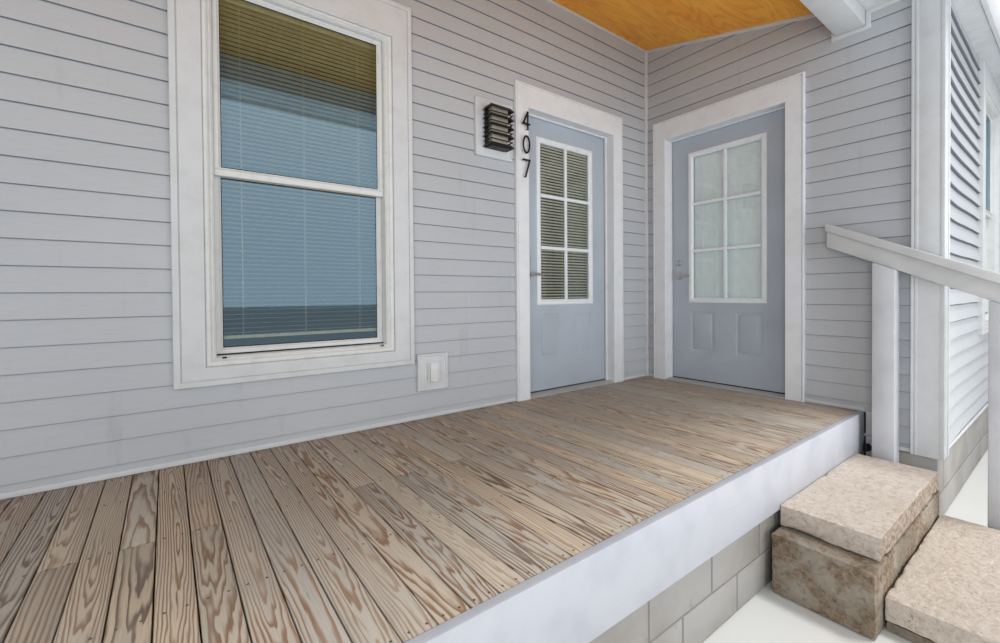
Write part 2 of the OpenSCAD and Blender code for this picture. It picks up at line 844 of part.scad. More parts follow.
// Wall light: a back plate, a lamp core and louvre blades that slope out and down round it
module louvre(w, d, drop, t) {
    along_x(-w / 2, w / 2)
        polygon([[0, 0], [-d, -drop], [-d, -drop - t], [0, -t]]);
}

module wall_light() {
    y0 = -trim_t + rim_d;
    core_w = 0.62 * light_w;
    core_d = 0.6 * light_d;
    pitch = (light_h - 50) / blade_n;
    color("black")
        translate([-light_x, y0, deck_h + light_z - light_h / 2]) {
            block([-core_w / 2, -core_d, 0], [core_w / 2, 0, light_h]);
            for (i = [0 : blade_n - 1])
                translate([0, 0, 48 + i * pitch]) louvre(light_w, light_d, 24, 12);
            block([-light_w / 2 + 12, -light_d + 8, 0], [light_w / 2 - 12, 0, 12]);
        }
}

place() deck_floor();
place() deck_fascia();
place() deck_joists();
place() deck_foundation();
place() house_foundation();
place() floor_framing();
place() room_floor();
place() wall_back();
place() wall_back_over_door();
place() wall_corner();
place() wall_side_over_door();
place() wall_side();
place() wall_front();
place() wall_end();
place() wall_trim();
place() base_strips();
place() window_casings();
place() window_frames();
place() window_glass();
place() window_blinds();
place() back_door_frame();
place() back_door();
place() back_door_lite();
place() back_door_glass();
place() back_door_lever();
place() back_door_lock();
place() back_door_hinges();
place() side_door_frame();
place() side_door();
place() side_door_lite();
place() side_door_glass();
place() side_door_lever();
place() side_door_lock();
place() side_door_hinges();
place() ceiling();
place() beam();
place() porch_post();
place() roof();
place() eave_soffit();
place() eave_boards();
place() step_upper();
place() step_lower();
place() step_risers();
place() handrail();
place() handrail_posts();
place() siding_blocks();
place() wall_light();
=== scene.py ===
# Front porch in the corner of a house: its finish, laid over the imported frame
import json
import math
import random
import bmesh
import bpy
from mathutils import Matrix, Vector, noise

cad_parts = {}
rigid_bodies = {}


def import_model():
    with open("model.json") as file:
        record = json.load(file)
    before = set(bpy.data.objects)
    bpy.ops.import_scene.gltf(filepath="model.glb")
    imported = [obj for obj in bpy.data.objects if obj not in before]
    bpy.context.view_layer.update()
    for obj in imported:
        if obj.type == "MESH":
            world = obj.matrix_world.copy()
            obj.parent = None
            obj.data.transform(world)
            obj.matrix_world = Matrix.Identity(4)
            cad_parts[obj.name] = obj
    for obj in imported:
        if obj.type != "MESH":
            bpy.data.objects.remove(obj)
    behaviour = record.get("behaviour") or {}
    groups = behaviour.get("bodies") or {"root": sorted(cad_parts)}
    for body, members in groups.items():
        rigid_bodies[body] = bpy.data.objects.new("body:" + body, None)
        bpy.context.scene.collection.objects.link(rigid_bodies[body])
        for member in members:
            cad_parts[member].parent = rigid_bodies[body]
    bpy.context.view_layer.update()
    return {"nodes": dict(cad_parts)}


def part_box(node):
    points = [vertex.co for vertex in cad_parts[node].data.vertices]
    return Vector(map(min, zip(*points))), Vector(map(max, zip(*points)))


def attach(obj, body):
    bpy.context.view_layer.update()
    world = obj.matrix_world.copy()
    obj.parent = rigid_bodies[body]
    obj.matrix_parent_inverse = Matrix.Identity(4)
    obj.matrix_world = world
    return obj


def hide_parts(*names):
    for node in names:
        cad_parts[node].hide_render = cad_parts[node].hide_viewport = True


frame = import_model()
nodes = frame["nodes"]
scene = bpy.context.scene
rng = random.Random(11)

# Places are measured from the inside corner of the porch, at the top of the deck
corner = Vector((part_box("wall_side")[0].x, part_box("wall_back")[0].y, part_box("deck_floor")[1].z))
ground = -corner.z
house = {"porchLong": 4.75, "sideLong": 1.895, "frontLong": 2.85, "wallThick": 0.115, "rimOut": 1.539,
         "fasciaOut": 1.571, "beamIn": 1.425, "beamOut": 1.575, "beamFoot": 2.375, "ceilingHigh": 2.912,
         "ceilingFall": 0.25, "soffitHigh": 2.46525, "footing": -0.198, "sidingFoot": -0.172,
         "trimOut": 0.032, "eaveOut": 2.035}
door = {"half": 0.462, "top": 2.058, "side": 0.117, "head": 0.165, "face": 0.068, "back": 0.112}
window = {"half": 0.452, "high": 1.785, "side": 0.12, "foot": 0.086, "backX": -2.874, "backZ": 0.425,
          "backHead": 0.203, "frontX": 1.992, "frontZ": 0.50025, "frontHead": 0.179}


def placed(x, y, z=0.0, turn=0.0):
    return Matrix.Translation(corner + Vector((x, y, z))) @ Matrix.Rotation(math.radians(turn), 4, "Z")


# On each wall x runs along it, y into the house and z up; onFace has x along, y up and z out of the wall
onFace = Matrix.Rotation(math.radians(90), 4, "X")
unmoved = Matrix.Identity(4)
whole = placed(0, 0)
wallPlace = {"back": whole, "side": placed(0, 0, 0, -90), "front": placed(0, -house["sideLong"]),
             "end": placed(house["frontLong"], 0, 0, 90)}
doorMiddle = {name: (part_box(name + "_door_glass")[0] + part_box(name + "_door_glass")[1]) / 2 - corner
              for name in ("back", "side")}
doorPlace = {"back": placed(doorMiddle["back"].x, 0), "side": placed(0, doorMiddle["side"].y, 0, -90)}
windowPlace = {"back": placed(window["backX"], 0, window["backZ"]),
               "front": placed(window["frontX"], -house["sideLong"], window["frontZ"])}
windowPlaces = list(windowPlace.values())


def ceilingAt(out):
    return house["ceilingHigh"] - house["ceilingFall"] * out


print("frame loaded, inside corner at", [round(v, 3) for v in corner])

# Camera, fitted to the edges of the doors, the deck and the courses of the siding
cameraFit = {"x": -3.466, "y": -2.4215, "z": 0.742, "turn": 36.86, "pitch": -0.68, "roll": -0.45,
             "focal": 445.09, "frameWide": 1000, "shiftY": -0.02146, "sensor": 36, "near": 0.02}


def makeCamera(fit):
    turn, pitch, roll = (math.radians(fit[key]) for key in ("turn", "pitch", "roll"))
    ahead = Vector((math.sin(turn) * math.cos(pitch), math.cos(turn) * math.cos(pitch), math.sin(pitch)))
    level = Vector((math.cos(turn), -math.sin(turn), 0))
    right = level * math.cos(roll) + level.cross(ahead) * math.sin(roll)
    up = right.cross(ahead)
    camera = bpy.data.objects.new("camera", bpy.data.cameras.new("camera"))
    scene.collection.objects.link(camera)
    spin = Matrix((right, up, -ahead)).transposed().to_4x4()
    camera.matrix_world = placed(fit["x"], fit["y"], fit["z"]) @ spin
    camera.data.sensor_width = fit["sensor"]
    camera.data.lens = fit["focal"] * fit["sensor"] / fit["frameWide"]
    camera.data.shift_y = fit["shiftY"]
    camera.data.clip_start = fit["near"]
    scene.camera = camera


makeCamera(cameraFit)


# Node maths: a wire is a socket that can be added, multiplied and so on in plain expressions
def operator(kind, turned=False):
    def work(self, other):
        return self.maker.maths(kind, *((other, self) if turned else (self, other)))
    return work


class Wire:
    def __init__(self, maker, socket):
        self.maker, self.socket = maker, socket

    __add__ = __radd__ = operator("ADD")
    __sub__, __rsub__ = operator("SUBTRACT"), operator("SUBTRACT", True)
    __mul__ = __rmul__ = operator("MULTIPLY")
    __truediv__, __rtruediv__ = operator("DIVIDE"), operator("DIVIDE", True)
    __mod__, __pow__ = operator("FLOORED_MODULO"), operator("POWER")


# What looks and geometry trees share
class Maker:
    # any node: its type, its settings, the values or wires of its sockets, and the output that is wanted
    def node(self, kind, settings=None, values=None, out=0):
        made = self.tree.nodes.new(kind)
        for key, value in (settings or {}).items():
            if key != "stops":
                setattr(made, key, value)
                continue
            while len(made.color_ramp.elements) < len(value):
                made.color_ramp.elements.new(0.5)
            for element, (at, colour) in zip(made.color_ramp.elements, value):
                element.position, element.color = at, (*shade(colour), 1)
        for key, value in (values or {}).items():
            self.plug(made.inputs[key], value)
        return Wire(self, made.outputs[out])

    def plug(self, socket, value):
        if isinstance(value, Wire):
            self.tree.links.new(value.socket, socket)
        elif value is not None:
            socket.default_value = (*value, 1.0) if socket.type == "RGBA" and len(value) == 3 else value

    def maths(self, kind, a, b=None):
        return self.node("ShaderNodeMath", {"operation": kind}, {0: a, 1: b})

    def split(self, vector):
        first = self.node("ShaderNodeSeparateXYZ", {}, {0: vector})
        return [Wire(self, socket) for socket in first.socket.node.outputs]

    def join(self, x=0.0, y=0.0, z=0.0):
        return self.node("ShaderNodeCombineXYZ", {}, {0: x, 1: y, 2: z})


# A finish: its fixed numbers sit on the shader, what changes over the surface comes from Object coordinates
class Look(Maker):
    def __init__(self, name, **fixed):
        self.material = bpy.data.materials.new(name)
        self.material.use_nodes = True
        self.tree = self.material.node_tree
        self.tree.nodes.clear()
        self.shader = self.tree.nodes.new("ShaderNodeBsdfPrincipled")
        self.output = self.tree.nodes.new("ShaderNodeOutputMaterial")
        self.tree.links.new(self.shader.outputs[0], self.output.inputs[0])
        self.place = self.node("ShaderNodeTexCoord", out="Object")
        self.x, self.y, self.z = self.split(self.place)
        self.finish(**fixed)

    def noise(self, at=None, scale=5.0, detail=3.0, rough=0.5, warp=0.0):
        return self.node("ShaderNodeTexNoise", {}, {
            "Vector": at or self.place, "Scale": scale, "Detail": detail, "Roughness": rough,
            "Distortion": warp}, "Fac")

    def stretched(self, scales, *more):
        # noise drawn out or squeezed along the axes of the piece
        axes = [axis * k if k else 0.0 for axis, k in zip((self.x, self.y, self.z), scales)]
        return self.noise(self.join(*axes), *more)

    def cells(self, at=None, scale=5.0):
        return self.node("ShaderNodeTexVoronoi", {}, {"Vector": at or self.place, "Scale": scale})

    def ramp(self, value, *stops):
        return self.node("ShaderNodeValToRGB", {"stops": stops}, {0: value})

    def band(self, value, low, high):
        return self.node("ShaderNodeMapRange", {"interpolation_type": "SMOOTHSTEP"},
                         {"Value": value, "From Min": low, "From Max": high})

    def mix(self, share, a, b):
        return self.node("ShaderNodeMix", {"data_type": "RGBA"}, {0: share, 6: shade(a), 7: shade(b)}, 2)

    def stain(self, tone, value, low, high, most, colour):
        # a colour laid over the tone where a value lies in a band
        return self.mix(self.band(value, low, high) * most, tone, colour)

    def stored(self, name):
        return self.node("ShaderNodeAttribute", {"attribute_name": name}, {}, "Fac")

    def bump(self, height, strength=0.3, distance=0.002):
        self.finish(Normal=self.node("ShaderNodeBump", {}, {"Height": height, "Strength": strength,
                                                            "Distance": distance}))

    def finish(self, **values):
        for key, value in values.items():
            self.plug(self.shader.inputs[key.replace("_", " ")], value)


def shade(colour):
    # colours are written as on a screen, 0 to 255; a wire passes as it is
    return colour if isinstance(colour, Wire) else tuple(((v / 255 + 0.055) / 1.055) ** 2.4 for v in colour)


# Mesh making: build functions fill a bmesh, each in its own place, and several may make one piece
def newPiece(name, look, parts, **more):
    bm = bmesh.new()
    for place, build in parts:
        start = len(bm.verts)
        build(bm)
        bm.verts.ensure_lookup_table()
        bmesh.ops.transform(bm, matrix=place, verts=bm.verts[start:])
    finishPiece(name, look, bm, **more)


def finishPiece(name, look, bm, bevel=0.0, segments=2, keep=None, **more):
    # edges of more than 25 degrees are rounded, all of them or those that keep chooses
    if bevel:
        sharp = [e for e in bm.edges if len(e.link_faces) == 2 and e.calc_face_angle(0) > math.radians(25)
                 and (keep is None or keep(e))]
        bmesh.ops.bevel(bm, geom=sharp, offset=bevel, segments=segments, affect="EDGES", profile=0.5,
                        clamp_overlap=True)
    mesh = bpy.data.meshes.new(name)
    bm.to_mesh(mesh)
    bm.free()
    showPiece(name, look, mesh, **more)


def showPiece(name, look, mesh, body="house", smooth=30, slot=None, replaces=()):
    if smooth:
        mesh.shade_smooth()
        mesh.set_sharp_from_angle(angle=math.radians(smooth))
    mesh.materials.clear()
    mesh.materials.append(look.material)
    thing = bpy.data.objects.new(name, mesh)
    scene.collection.objects.link(thing)
    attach(thing, body)
    if replaces:
        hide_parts(*replaces)


def softCopy(nodeName, look, **more):
    # a copy of a node's solid with rounded edges takes its place
    bm = bmesh.new()
    bm.from_mesh(nodes[nodeName].data)
    bmesh.ops.remove_doubles(bm, verts=bm.verts, dist=1e-5)
    bmesh.ops.dissolve_limit(bm, angle_limit=math.radians(1), verts=bm.verts, edges=bm.edges)
    finishPiece(nodeName + "Finish", look, bm, replaces=(nodeName,), **more)


def dress(look, *names):
    for name in names:
        nodes[name].data.materials.clear()
        nodes[name].data.materials.append(look.material)


def addBox(bm, low, high):
    made = bmesh.ops.create_cube(bm, size=1.0)
    for v in made["verts"]:
        v.co = Vector((low[i] + (v.co[i] + 0.5) * (high[i] - low[i]) for i in range(3)))


def addPrism(bm, outline, start, end, axis="x"):
    # an outline in the plane across the axis, drawn out along it
    spot = {"x": lambda at, a, b: (at, a, b), "y": lambda at, a, b: (a, at, b),
            "z": lambda at, a, b: (a, b, at)}[axis]
    rings = [[bm.verts.new(spot(at, a, b)) for a, b in outline] for at in (start, end)]
    made = [bm.faces.new(ring) for ring in rings]
    for i in range(len(outline)):
        k = (i + 1) % len(outline)
        made.append(bm.faces.new((rings[0][i], rings[0][k], rings[1][k], rings[1][i])))
    bmesh.ops.recalc_face_normals(bm, faces=made)


def addRing(bm, inner, widths, profile, openFoot=False):
    # a moulding mitred round an opening; the profile has (share of the width, more, distance out)
    x0, z0, x1, z1 = inner
    side, foot, head = widths
    rings = []
    for share, more, out in profile:
        left, right = x0 - share * side - more, x1 + share * side + more
        low = z0 if openFoot else z0 - share * foot - more
        high = z1 + share * head + more
        corners = (left, low), (left, high), (right, high), (right, low)
        rings.append([bm.verts.new((x, -out, z)) for x, z in corners])
    made = []
    for i, ring in enumerate(rings):
        after = rings[(i + 1) % len(rings)]
        made += [bm.faces.new((ring[k], ring[(k + 1) % 4], after[(k + 1) % 4], after[k]))
                 for k in range(3 if openFoot else 4)]
    if openFoot:
        made += [bm.faces.new([ring[k] for ring in rings]) for k in (0, 3)]
    bmesh.ops.recalc_face_normals(bm, faces=made)


def closeRings(bm, rings):
    made = [bm.faces.new(rings[0]), bm.faces.new(rings[-1])]
    count = len(rings[0])
    for ring, after in zip(rings, rings[1:]):
        made += [bm.faces.new((ring[k], ring[(k + 1) % count], after[(k + 1) % count], after[k]))
                 for k in range(count)]
    bmesh.ops.recalc_face_normals(bm, faces=made)


def circle(count):
    return [(math.cos(2 * math.pi * k / count), math.sin(2 * math.pi * k / count)) for k in range(count)]


def addLathe(bm, profile, spot, count=40):
    # turned round the y axis at a spot; the profile has (radius, y)
    closeRings(bm, [[bm.verts.new((spot[0] + r * c, y, spot[1] + r * s)) for c, s in circle(count)]
                    for r, y in profile])


def addTube(bm, path, sizes, count=20):
    # a rounded bar along a path; sizes has the half width and half height at each point
    path = [Vector(p) for p in path]
    rings = []
    for i, (spot, (wide, high)) in enumerate(zip(path, sizes)):
        ahead = (path[min(i + 1, len(path) - 1)] - path[max(i - 1, 0)]).normalized()
        across = ahead.cross(Vector((0, 0, 1))).normalized()
        up = across.cross(ahead)
        rings.append([bm.verts.new(spot + across * wide * c + up * high * s) for c, s in circle(count)])
    closeRings(bm, rings)


# Geometry Nodes trees, each with named inputs and ending in Realize Instances and Set Material
class GeoTree(Maker):
    def __init__(self, name, **sizes):
        self.tree, self.ids = bpy.data.node_groups.new(name, "GeometryNodeTree"), {}
        sockets = self.tree.interface
        sockets.new_socket("Geometry", in_out="INPUT", socket_type="NodeSocketGeometry")
        sockets.new_socket("Geometry", in_out="OUTPUT", socket_type="NodeSocketGeometry")
        for label, value in {**sizes, "material": None}.items():
            kind = {int: "Int", float: "Float"}.get(type(value), "Material")
            made = sockets.new_socket(label, in_out="INPUT", socket_type="NodeSocket" + kind)
            if value is not None:
                made.default_value = value
            self.ids[label] = made.identifier
        self.start = self.tree.nodes.new("NodeGroupInput")
        self.end = self.tree.nodes.new("NodeGroupOutput")

    def ask(self, *labels):
        wires = [Wire(self, self.start.outputs[label]) for label in labels]
        return wires if len(wires) > 1 else wires[0]

    def here(self):
        return self.split(self.node("GeometryNodeInputPosition"))

    def grid(self, across, along):
        return self.node("GeometryNodeMeshGrid", {}, {"Size X": 1.0, "Size Y": 1.0, "Vertices X": across,
                                                      "Vertices Y": along})

    def stored(self, name):
        return self.node("GeometryNodeInputNamedAttribute", {"data_type": "FLOAT"}, {"Name": name})

    def store(self, geometry, name, value):
        return self.node("GeometryNodeStoreNamedAttribute", {"data_type": "FLOAT", "domain": "POINT"},
                         {"Geometry": geometry, "Name": name, "Value": value})

    def move(self, geometry, **where):
        return self.node("GeometryNodeSetPosition", {}, {"Geometry": geometry, **where})

    def scatter(self, shape, points=None, size=(1.0, 1.0, 1.0), turn=(0.0, 0.0, 0.0)):
        return self.node("GeometryNodeInstanceOnPoints", {}, {
            "Points": points or self.ask("Geometry"), "Instance": shape, "Rotation": turn, "Scale": size})

    def real(self, geometry):
        return self.node("GeometryNodeRealizeInstances", {}, {0: geometry})

    def close(self, geometry):
        self.plug(self.end.inputs[0], self.node("GeometryNodeSetMaterial", {}, {
            "Geometry": self.real(geometry), "Material": self.ask("material")}))
        return self

    def grow(self, name, look, points, columns=None, place=whole, shell=0.0, **more):
        # grows the tree on loose points, gives a plain mesh, takes it to its place and shows it
        seed = bpy.data.meshes.new(name + "Points")
        seed.from_pydata([tuple(p) for p in points], [], [])
        for key, values in (columns or {}).items():
            seed.attributes.new(key, "FLOAT", "POINT").data.foreach_set("value", [float(v) for v in values])
        holder = bpy.data.objects.new(name + "Points", seed)
        scene.collection.objects.link(holder)
        modifier = holder.modifiers.new("grow", "NODES")
        modifier.node_group = self.tree
        modifier[self.ids["material"]] = look.material
        for label in self.ids:
            if label in more:
                modifier[self.ids[label]] = more.pop(label)
        bpy.context.view_layer.update()
        depsgraph = bpy.context.evaluated_depsgraph_get()
        grown = bpy.data.meshes.new_from_object(
            holder.evaluated_get(depsgraph), preserve_all_data_layers=True, depsgraph=depsgraph)
        holder.modifiers.clear()
        bpy.data.objects.remove(holder)
        grown.transform(place)
        if not shell and "bevel" not in more:
            grown.name = name
            showPiece(name, look, grown, **more)
            return
        bm = bmesh.new()
        bm.from_mesh(grown)
        bpy.data.meshes.remove(grown)
        if shell:
            bmesh.ops.solidify(bm, geom=bm.faces[:], thickness=shell)
        finishPiece(name, look, bm, **more)


# What is laid in rows: boards, blocks and shingles as blocks with their own length and width, a gap between
# them, a small unevenness and a tip; their face lies at z = 0, or above it by their rise
def makeLaidTree():
    tree = GeoTree("laidRows", gap=0.004, thick=0.02, rise=0.0, uneven=0.0, tip=0.0, seed=5)
    gap, thick, seed = tree.ask("gap", "thick", "seed")
    cube = tree.node("GeometryNodeMeshCube", {}, {"Size": (1.0, 1.0, 1.0)})
    cube = tree.store(cube, "acrossShare", tree.here()[0])
    size = tree.join(tree.stored("wide") - gap, tree.stored("long") - gap, thick)
    chance = tree.node("FunctionNodeRandomValue", {"data_type": "FLOAT"}, {2: -1.0, 3: 1.0, 8: seed}, 1)
    lift = chance * tree.ask("uneven") + tree.ask("rise") - thick * 0.5
    spots = tree.move(tree.ask("Geometry"), Offset=tree.join(z=lift))
    return tree.close(tree.scatter(cube, spots, size, tree.join(x=tree.ask("tip"))))


laidTree = makeLaidTree()


def layRows(area, rowSize, pieceLong, shift=0.5):
    # rows across y, pieces along x, their joints moved on by a share of a piece in every other row
    x0, y0, x1, y1 = area
    spots = []
    for row in range(math.ceil((y1 - y0) / rowSize - 1e-6)):
        low, high = y0 + row * rowSize, min(y0 + (row + 1) * rowSize, y1)
        x = x0 - pieceLong * shift * (row % 2)
        while x < x1 - 1e-6:
            a, b = max(x, x0), min(x + pieceLong, x1)
            if b - a > 0.02:
                spots.append(((a + b) / 2, (low + high) / 2, b - a, high - low))
            x += pieceLong
    return spots


def layOn(name, look, spots, place, **more):
    x, y, wide, long = zip(*spots)
    laidTree.grow(name, look, [(a, b, 0) for a, b in zip(x, y)],
                  {"wide": wide, "long": long, "boardSeed": [rng.random() for _ in spots]}, place, **more)


# Siding: each course is a thin strip from its butt to its top, with a return under the butt
siding = {"exposure": 0.1015, "phase": 0.054, "courses": 36, "steps": 80, "back": (0.0135, 0.0128),
          "side": (0.0135, 0.0104), "front": (0.0174, 0.0166), "end": (0.0135, 0.0125)}


def makeSidingTree():
    tree = GeoTree("sidingCourses", exposure=0.1, top=0.0035, back=0.001, count=30, wobble=0.0035,
                   wobbleSize=1.3, flare=0.0, flareAt=0.1, flareReach=0.3)
    exposure, top, back, count, wobble, wobbleSize = tree.ask("exposure", "top", "back", "count", "wobble",
                                                              "wobbleSize")
    flare, flareAt, flareReach = tree.ask("flare", "flareAt", "flareReach")
    x, y = tree.here()[:2]
    strip = tree.store(tree.grid(count, 3), "shareUp", y + 0.5)
    strip = tree.move(strip, Position=tree.join(x + 0.5))
    strips = tree.real(tree.scatter(strip, size=tree.join(tree.stored("long"), 1.0, 1.0)))
    share, butt, low = (tree.stored(name) for name in ("shareUp", "butt", "cutLow"))
    level = low + tree.maths("MAXIMUM", share - 0.5, 0.0) * 2.0 * (tree.stored("cutHigh") - low)
    foot = tree.maths("LESS_THAN", share, 0.25)
    out = (butt + level * (top - butt)) * (1.0 - foot) + back * foot
    # an end held in a deep channel stands further out than the middle of the wall
    fade = tree.maths("EXPONENT", tree.maths("ABSOLUTE", x - flareAt) / flareReach * -1.0)
    strips = tree.move(strips, Offset=tree.join(0.0, level * exposure, out + fade * flare))
    # what the look reads is the height in the whole course, so a course cut at a hole gets no painted shadow
    # line there
    strips = tree.store(strips, "shareUp", (level * 0.5 + 0.5) * (1.0 - foot))
    wave = tree.node("ShaderNodeTexNoise", {}, {"Scale": wobbleSize, "Detail": 1.0}, "Color")
    centred = tree.node("ShaderNodeVectorMath", {"operation": "SUBTRACT"}, {0: wave, 1: (0.5, 0.5, 0.5)})
    small = tree.node("ShaderNodeVectorMath", {"operation": "SCALE"}, {0: centred, "Scale": wobble})
    return tree.close(tree.move(strips, Offset=small))


sidingTree = makeSidingTree()


def courseRows(wall, spans, holes, topAt):
    # spans are (x0, x1, foot) and holes (x0, z0, x1, z1); what starts above the wall's top is left out
    size, steps, rows = siding["exposure"], siding["steps"], []
    first = math.floor((min(s[2] for s in spans) - siding["phase"]) / size) - 1
    for k in range(first, first + siding["courses"]):
        foot = siding["phase"] + k * size
        for x0, x1, z0 in spans:
            low, high = max(foot, z0), foot + size
            if high <= low + 0.002:
                continue
            cuts = {z for h in holes for z in (h[1], h[3]) if low + 0.001 < z < high - 0.001}
            edges = sorted({low, high} | cuts)
            for a, b in zip(edges, edges[1:]):
                parts = [(x0, x1)]
                for h in holes:
                    if h[1] < b - 1e-4 and h[3] > a + 1e-4:
                        cut = [q for p in parts for q in ((p[0], min(p[1], h[0])), (max(p[0], h[2]), p[1]))]
                        parts = [q for q in cut if q[1] - q[0] > 0.004]
                for left, right in parts:
                    inside = [left + (right - left) * i / steps for i in range(steps + 1)]
                    inside = [x for x in inside if topAt(x) > a]
                    if len(inside) > 1:
                        rows.append(((inside[0], foot, 0), inside[-1] - inside[0], (a - foot) / size,
                                     (b - foot) / size, siding[wall][k % 2]))
    return rows


def makeSiding(name, wall, spans, holes, topAt, **more):
    points, *columns = zip(*courseRows(wall, spans, holes, topAt))
    sidingTree.grow(name, sidingLook, points, dict(zip(("long", "cutLow", "cutHigh", "butt"), columns)),
                    wallPlace[wall] @ onFace, slot="siding", smooth=20, exposure=siding["exposure"], **more)


# Painted and moulded finishes
def makeTrimLook(name, pale, dark):
    look = Look(name, Specular_IOR_Level=0.4)
    wear = look.noise(scale=9, detail=6, rough=0.65)
    specks = 1 - look.band(look.cells(scale=60), 0.02, 0.09)
    tone = look.mix(look.band(wear, 0.38, 0.8), pale, dark)
    tone = look.mix(specks * look.band(wear, 0.5, 0.6) * 0.4, tone, (152, 148, 140))
    brush = look.stretched((3, 3, 0.3), 60, 3, 0.6)
    look.finish(Base_Color=tone, Roughness=wear * 0.2 + 0.34)
    look.bump(brush, 0.12, 0.001)
    return look


def makeBrushedLook(name, along, pale, dark):
    # brushed paint over timber, the grain still telling, worn along its ridges
    look = Look(name, Roughness=0.5)
    grain = look.stretched([2.2 if axis == along else 80 for axis in "xyz"], 1.0, 4, 0.6)
    tone = look.mix(look.band(look.noise(scale=6, detail=5), 0.4, 0.75), pale, dark)
    tone = look.stain(tone, grain, 0.6, 0.8, 0.3, (164, 167, 172))
    look.finish(Base_Color=tone)
    look.bump(grain, 0.2, 0.0012)
    return look


def makeSidingLook():
    look = Look("lavenderSiding", Roughness=0.5)
    streak = look.stretched((5, 5, 60), 3, 4, 0.6)
    tone = look.mix(look.band(look.noise(scale=0.8, detail=3), 0.3, 0.7), (178, 183, 191), (187, 191, 197))
    tone = look.stain(tone, streak, 0.45, 0.8, 0.25, (159, 163, 169))
    grime = look.stretched((7, 7, 0.8), 2, 4, 0.6)
    tone = look.stain(tone, grime, 0.58, 0.8, 0.3, (152, 152, 158))
    # painted shade beneath each butt, and a painted shadow line at the top of each course where it goes up
    # past the next butt, wider and darker on the deep butts of the front wall
    share = look.stored("shareUp")
    deep = look.band(look.stored("butt"), 0.014, 0.0165)
    paintedUnderShade = (1 - look.band(share, 0.3, 0.5)) * 0.8
    paintedLapShadow = look.band(share + deep * 0.032, 0.968, 0.992) * (deep * 0.3 + 0.55)
    look.finish(Base_Color=look.mix(paintedUnderShade + paintedLapShadow, tone, (84, 88, 97)))
    look.bump(streak + look.noise(scale=2.2, detail=1) * 2.0, 0.25, 0.0015)
    return look


def makePlasterLook():
    look = Look("roomPlaster", Roughness=0.85)
    look.finish(Base_Color=look.mix(look.noise(scale=3, detail=4), (208, 206, 198), (220, 218, 212)))
    look.bump(look.noise(scale=140, detail=4, rough=0.7), 0.3, 0.0008)
    return look


def makeDoorLook():
    look = Look("doorPaint", Specular_IOR_Level=0.45)
    tone = look.mix(look.band(look.noise(scale=2.5, detail=4), 0.3, 0.75), (176, 186, 199), (166, 176, 188))
    smear = look.stretched((30, 30, 3), 1.0, 4, 0.6)
    tone = look.stain(tone, smear, 0.6, 0.85, 0.3, (148, 158, 169))
    look.finish(Base_Color=tone, Roughness=smear * 0.2 + 0.3)
    look.bump(look.noise(scale=260, detail=2), 0.12, 0.0006)
    return look


def makeVinylLook(name, pale, dark):
    look = Look(name, Roughness=0.3)
    dust = look.noise(scale=18, detail=5, rough=0.6)
    look.finish(Base_Color=look.mix(look.band(dust, 0.45, 0.8), pale, dark))
    look.bump(dust, 0.08, 0.0008)
    return look


def makeGlassLook(name, through, paintedSkyTint, mirror, wave):
    # a clear pane: seen straight through, with a reflection that grows towards a glancing view; the
    # reflection is strengthened and tinted sky blue, a painted sky reflection
    look = Look(name)
    look.tree.nodes.remove(look.shader)
    ripple = look.node("ShaderNodeBump", {}, {"Height": look.noise(scale=2.5, detail=1), "Strength": wave,
                                              "Distance": 0.004})
    clear = look.node("ShaderNodeBsdfTransparent", {}, {"Color": through})
    shine = look.node("ShaderNodeBsdfGlossy", {}, {"Color": paintedSkyTint, "Roughness": 0.02, "Normal": ripple})
    share = look.node("ShaderNodeFresnel", {}, {"IOR": 1.55, "Normal": ripple}) * mirror
    outside = 1 - look.node("ShaderNodeNewGeometry", out="Backfacing")
    share = look.maths("MINIMUM", share, 0.42) * outside
    mixed = look.node("ShaderNodeMixShader", {}, {0: share, 1: clear, 2: shine})
    look.tree.links.new(mixed.socket, look.output.inputs[0])
    return look


def makeSlatLook(name, pale, dark):
    look = Look(name, Roughness=0.55)
    dust = look.stretched((3, 3, 1), 12, 4, 0.6)
    look.finish(Base_Color=look.mix(look.band(dust, 0.35, 0.75), pale, dark))
    look.bump(dust, 0.06, 0.0005)
    return look


def makeMetalLook(name, tone, worn, rough, metallic=1.0):
    look = Look(name, Metallic=metallic)
    rub = look.noise(scale=70, detail=5, rough=0.7)
    look.finish(Base_Color=look.mix(look.band(rub, 0.45, 0.75), tone, worn), Roughness=rub * 0.25 + rough)
    look.bump(look.noise(scale=500, detail=2), 0.05, 0.0003)
    return look


# Timber: a log's taper, cut by the face of the board, draws long arches that are uneven and run round knots
def growthRings(look, across, along, seed, tight, taper):
    close = (look.noise(look.join(seed * 91.7, 2, 0), 1.0, 0) - 0.45) * 7
    wander = look.noise(look.join(seed * 37.1 + across * 14, along * 1.7, 3), 1.0, 3, 0.62) - 0.5
    side = across + (look.noise(look.join(seed * 57.9, along * 0.6, 0), 1.0, 1, 0.4) - 0.5) * 0.16
    deep = (along - close) * taper + wander * 0.05
    knot = look.cells(look.join(across * 5 + seed * 40, along * 1.4 + seed * 17, 1), 1.0)
    reach = (side * side + deep * deep) ** 0.5 + (1 - look.band(knot, 0.0, 0.2)) * 0.02
    uneven = look.noise(look.join(reach * 34, seed * 23, 0), 1.0, 2) * 1.6
    fuzz = look.noise(look.join(across * 60, along * 6, seed * 9), 1.0, 3, 0.6)
    return reach * tight + uneven + fuzz * 0.45, knot


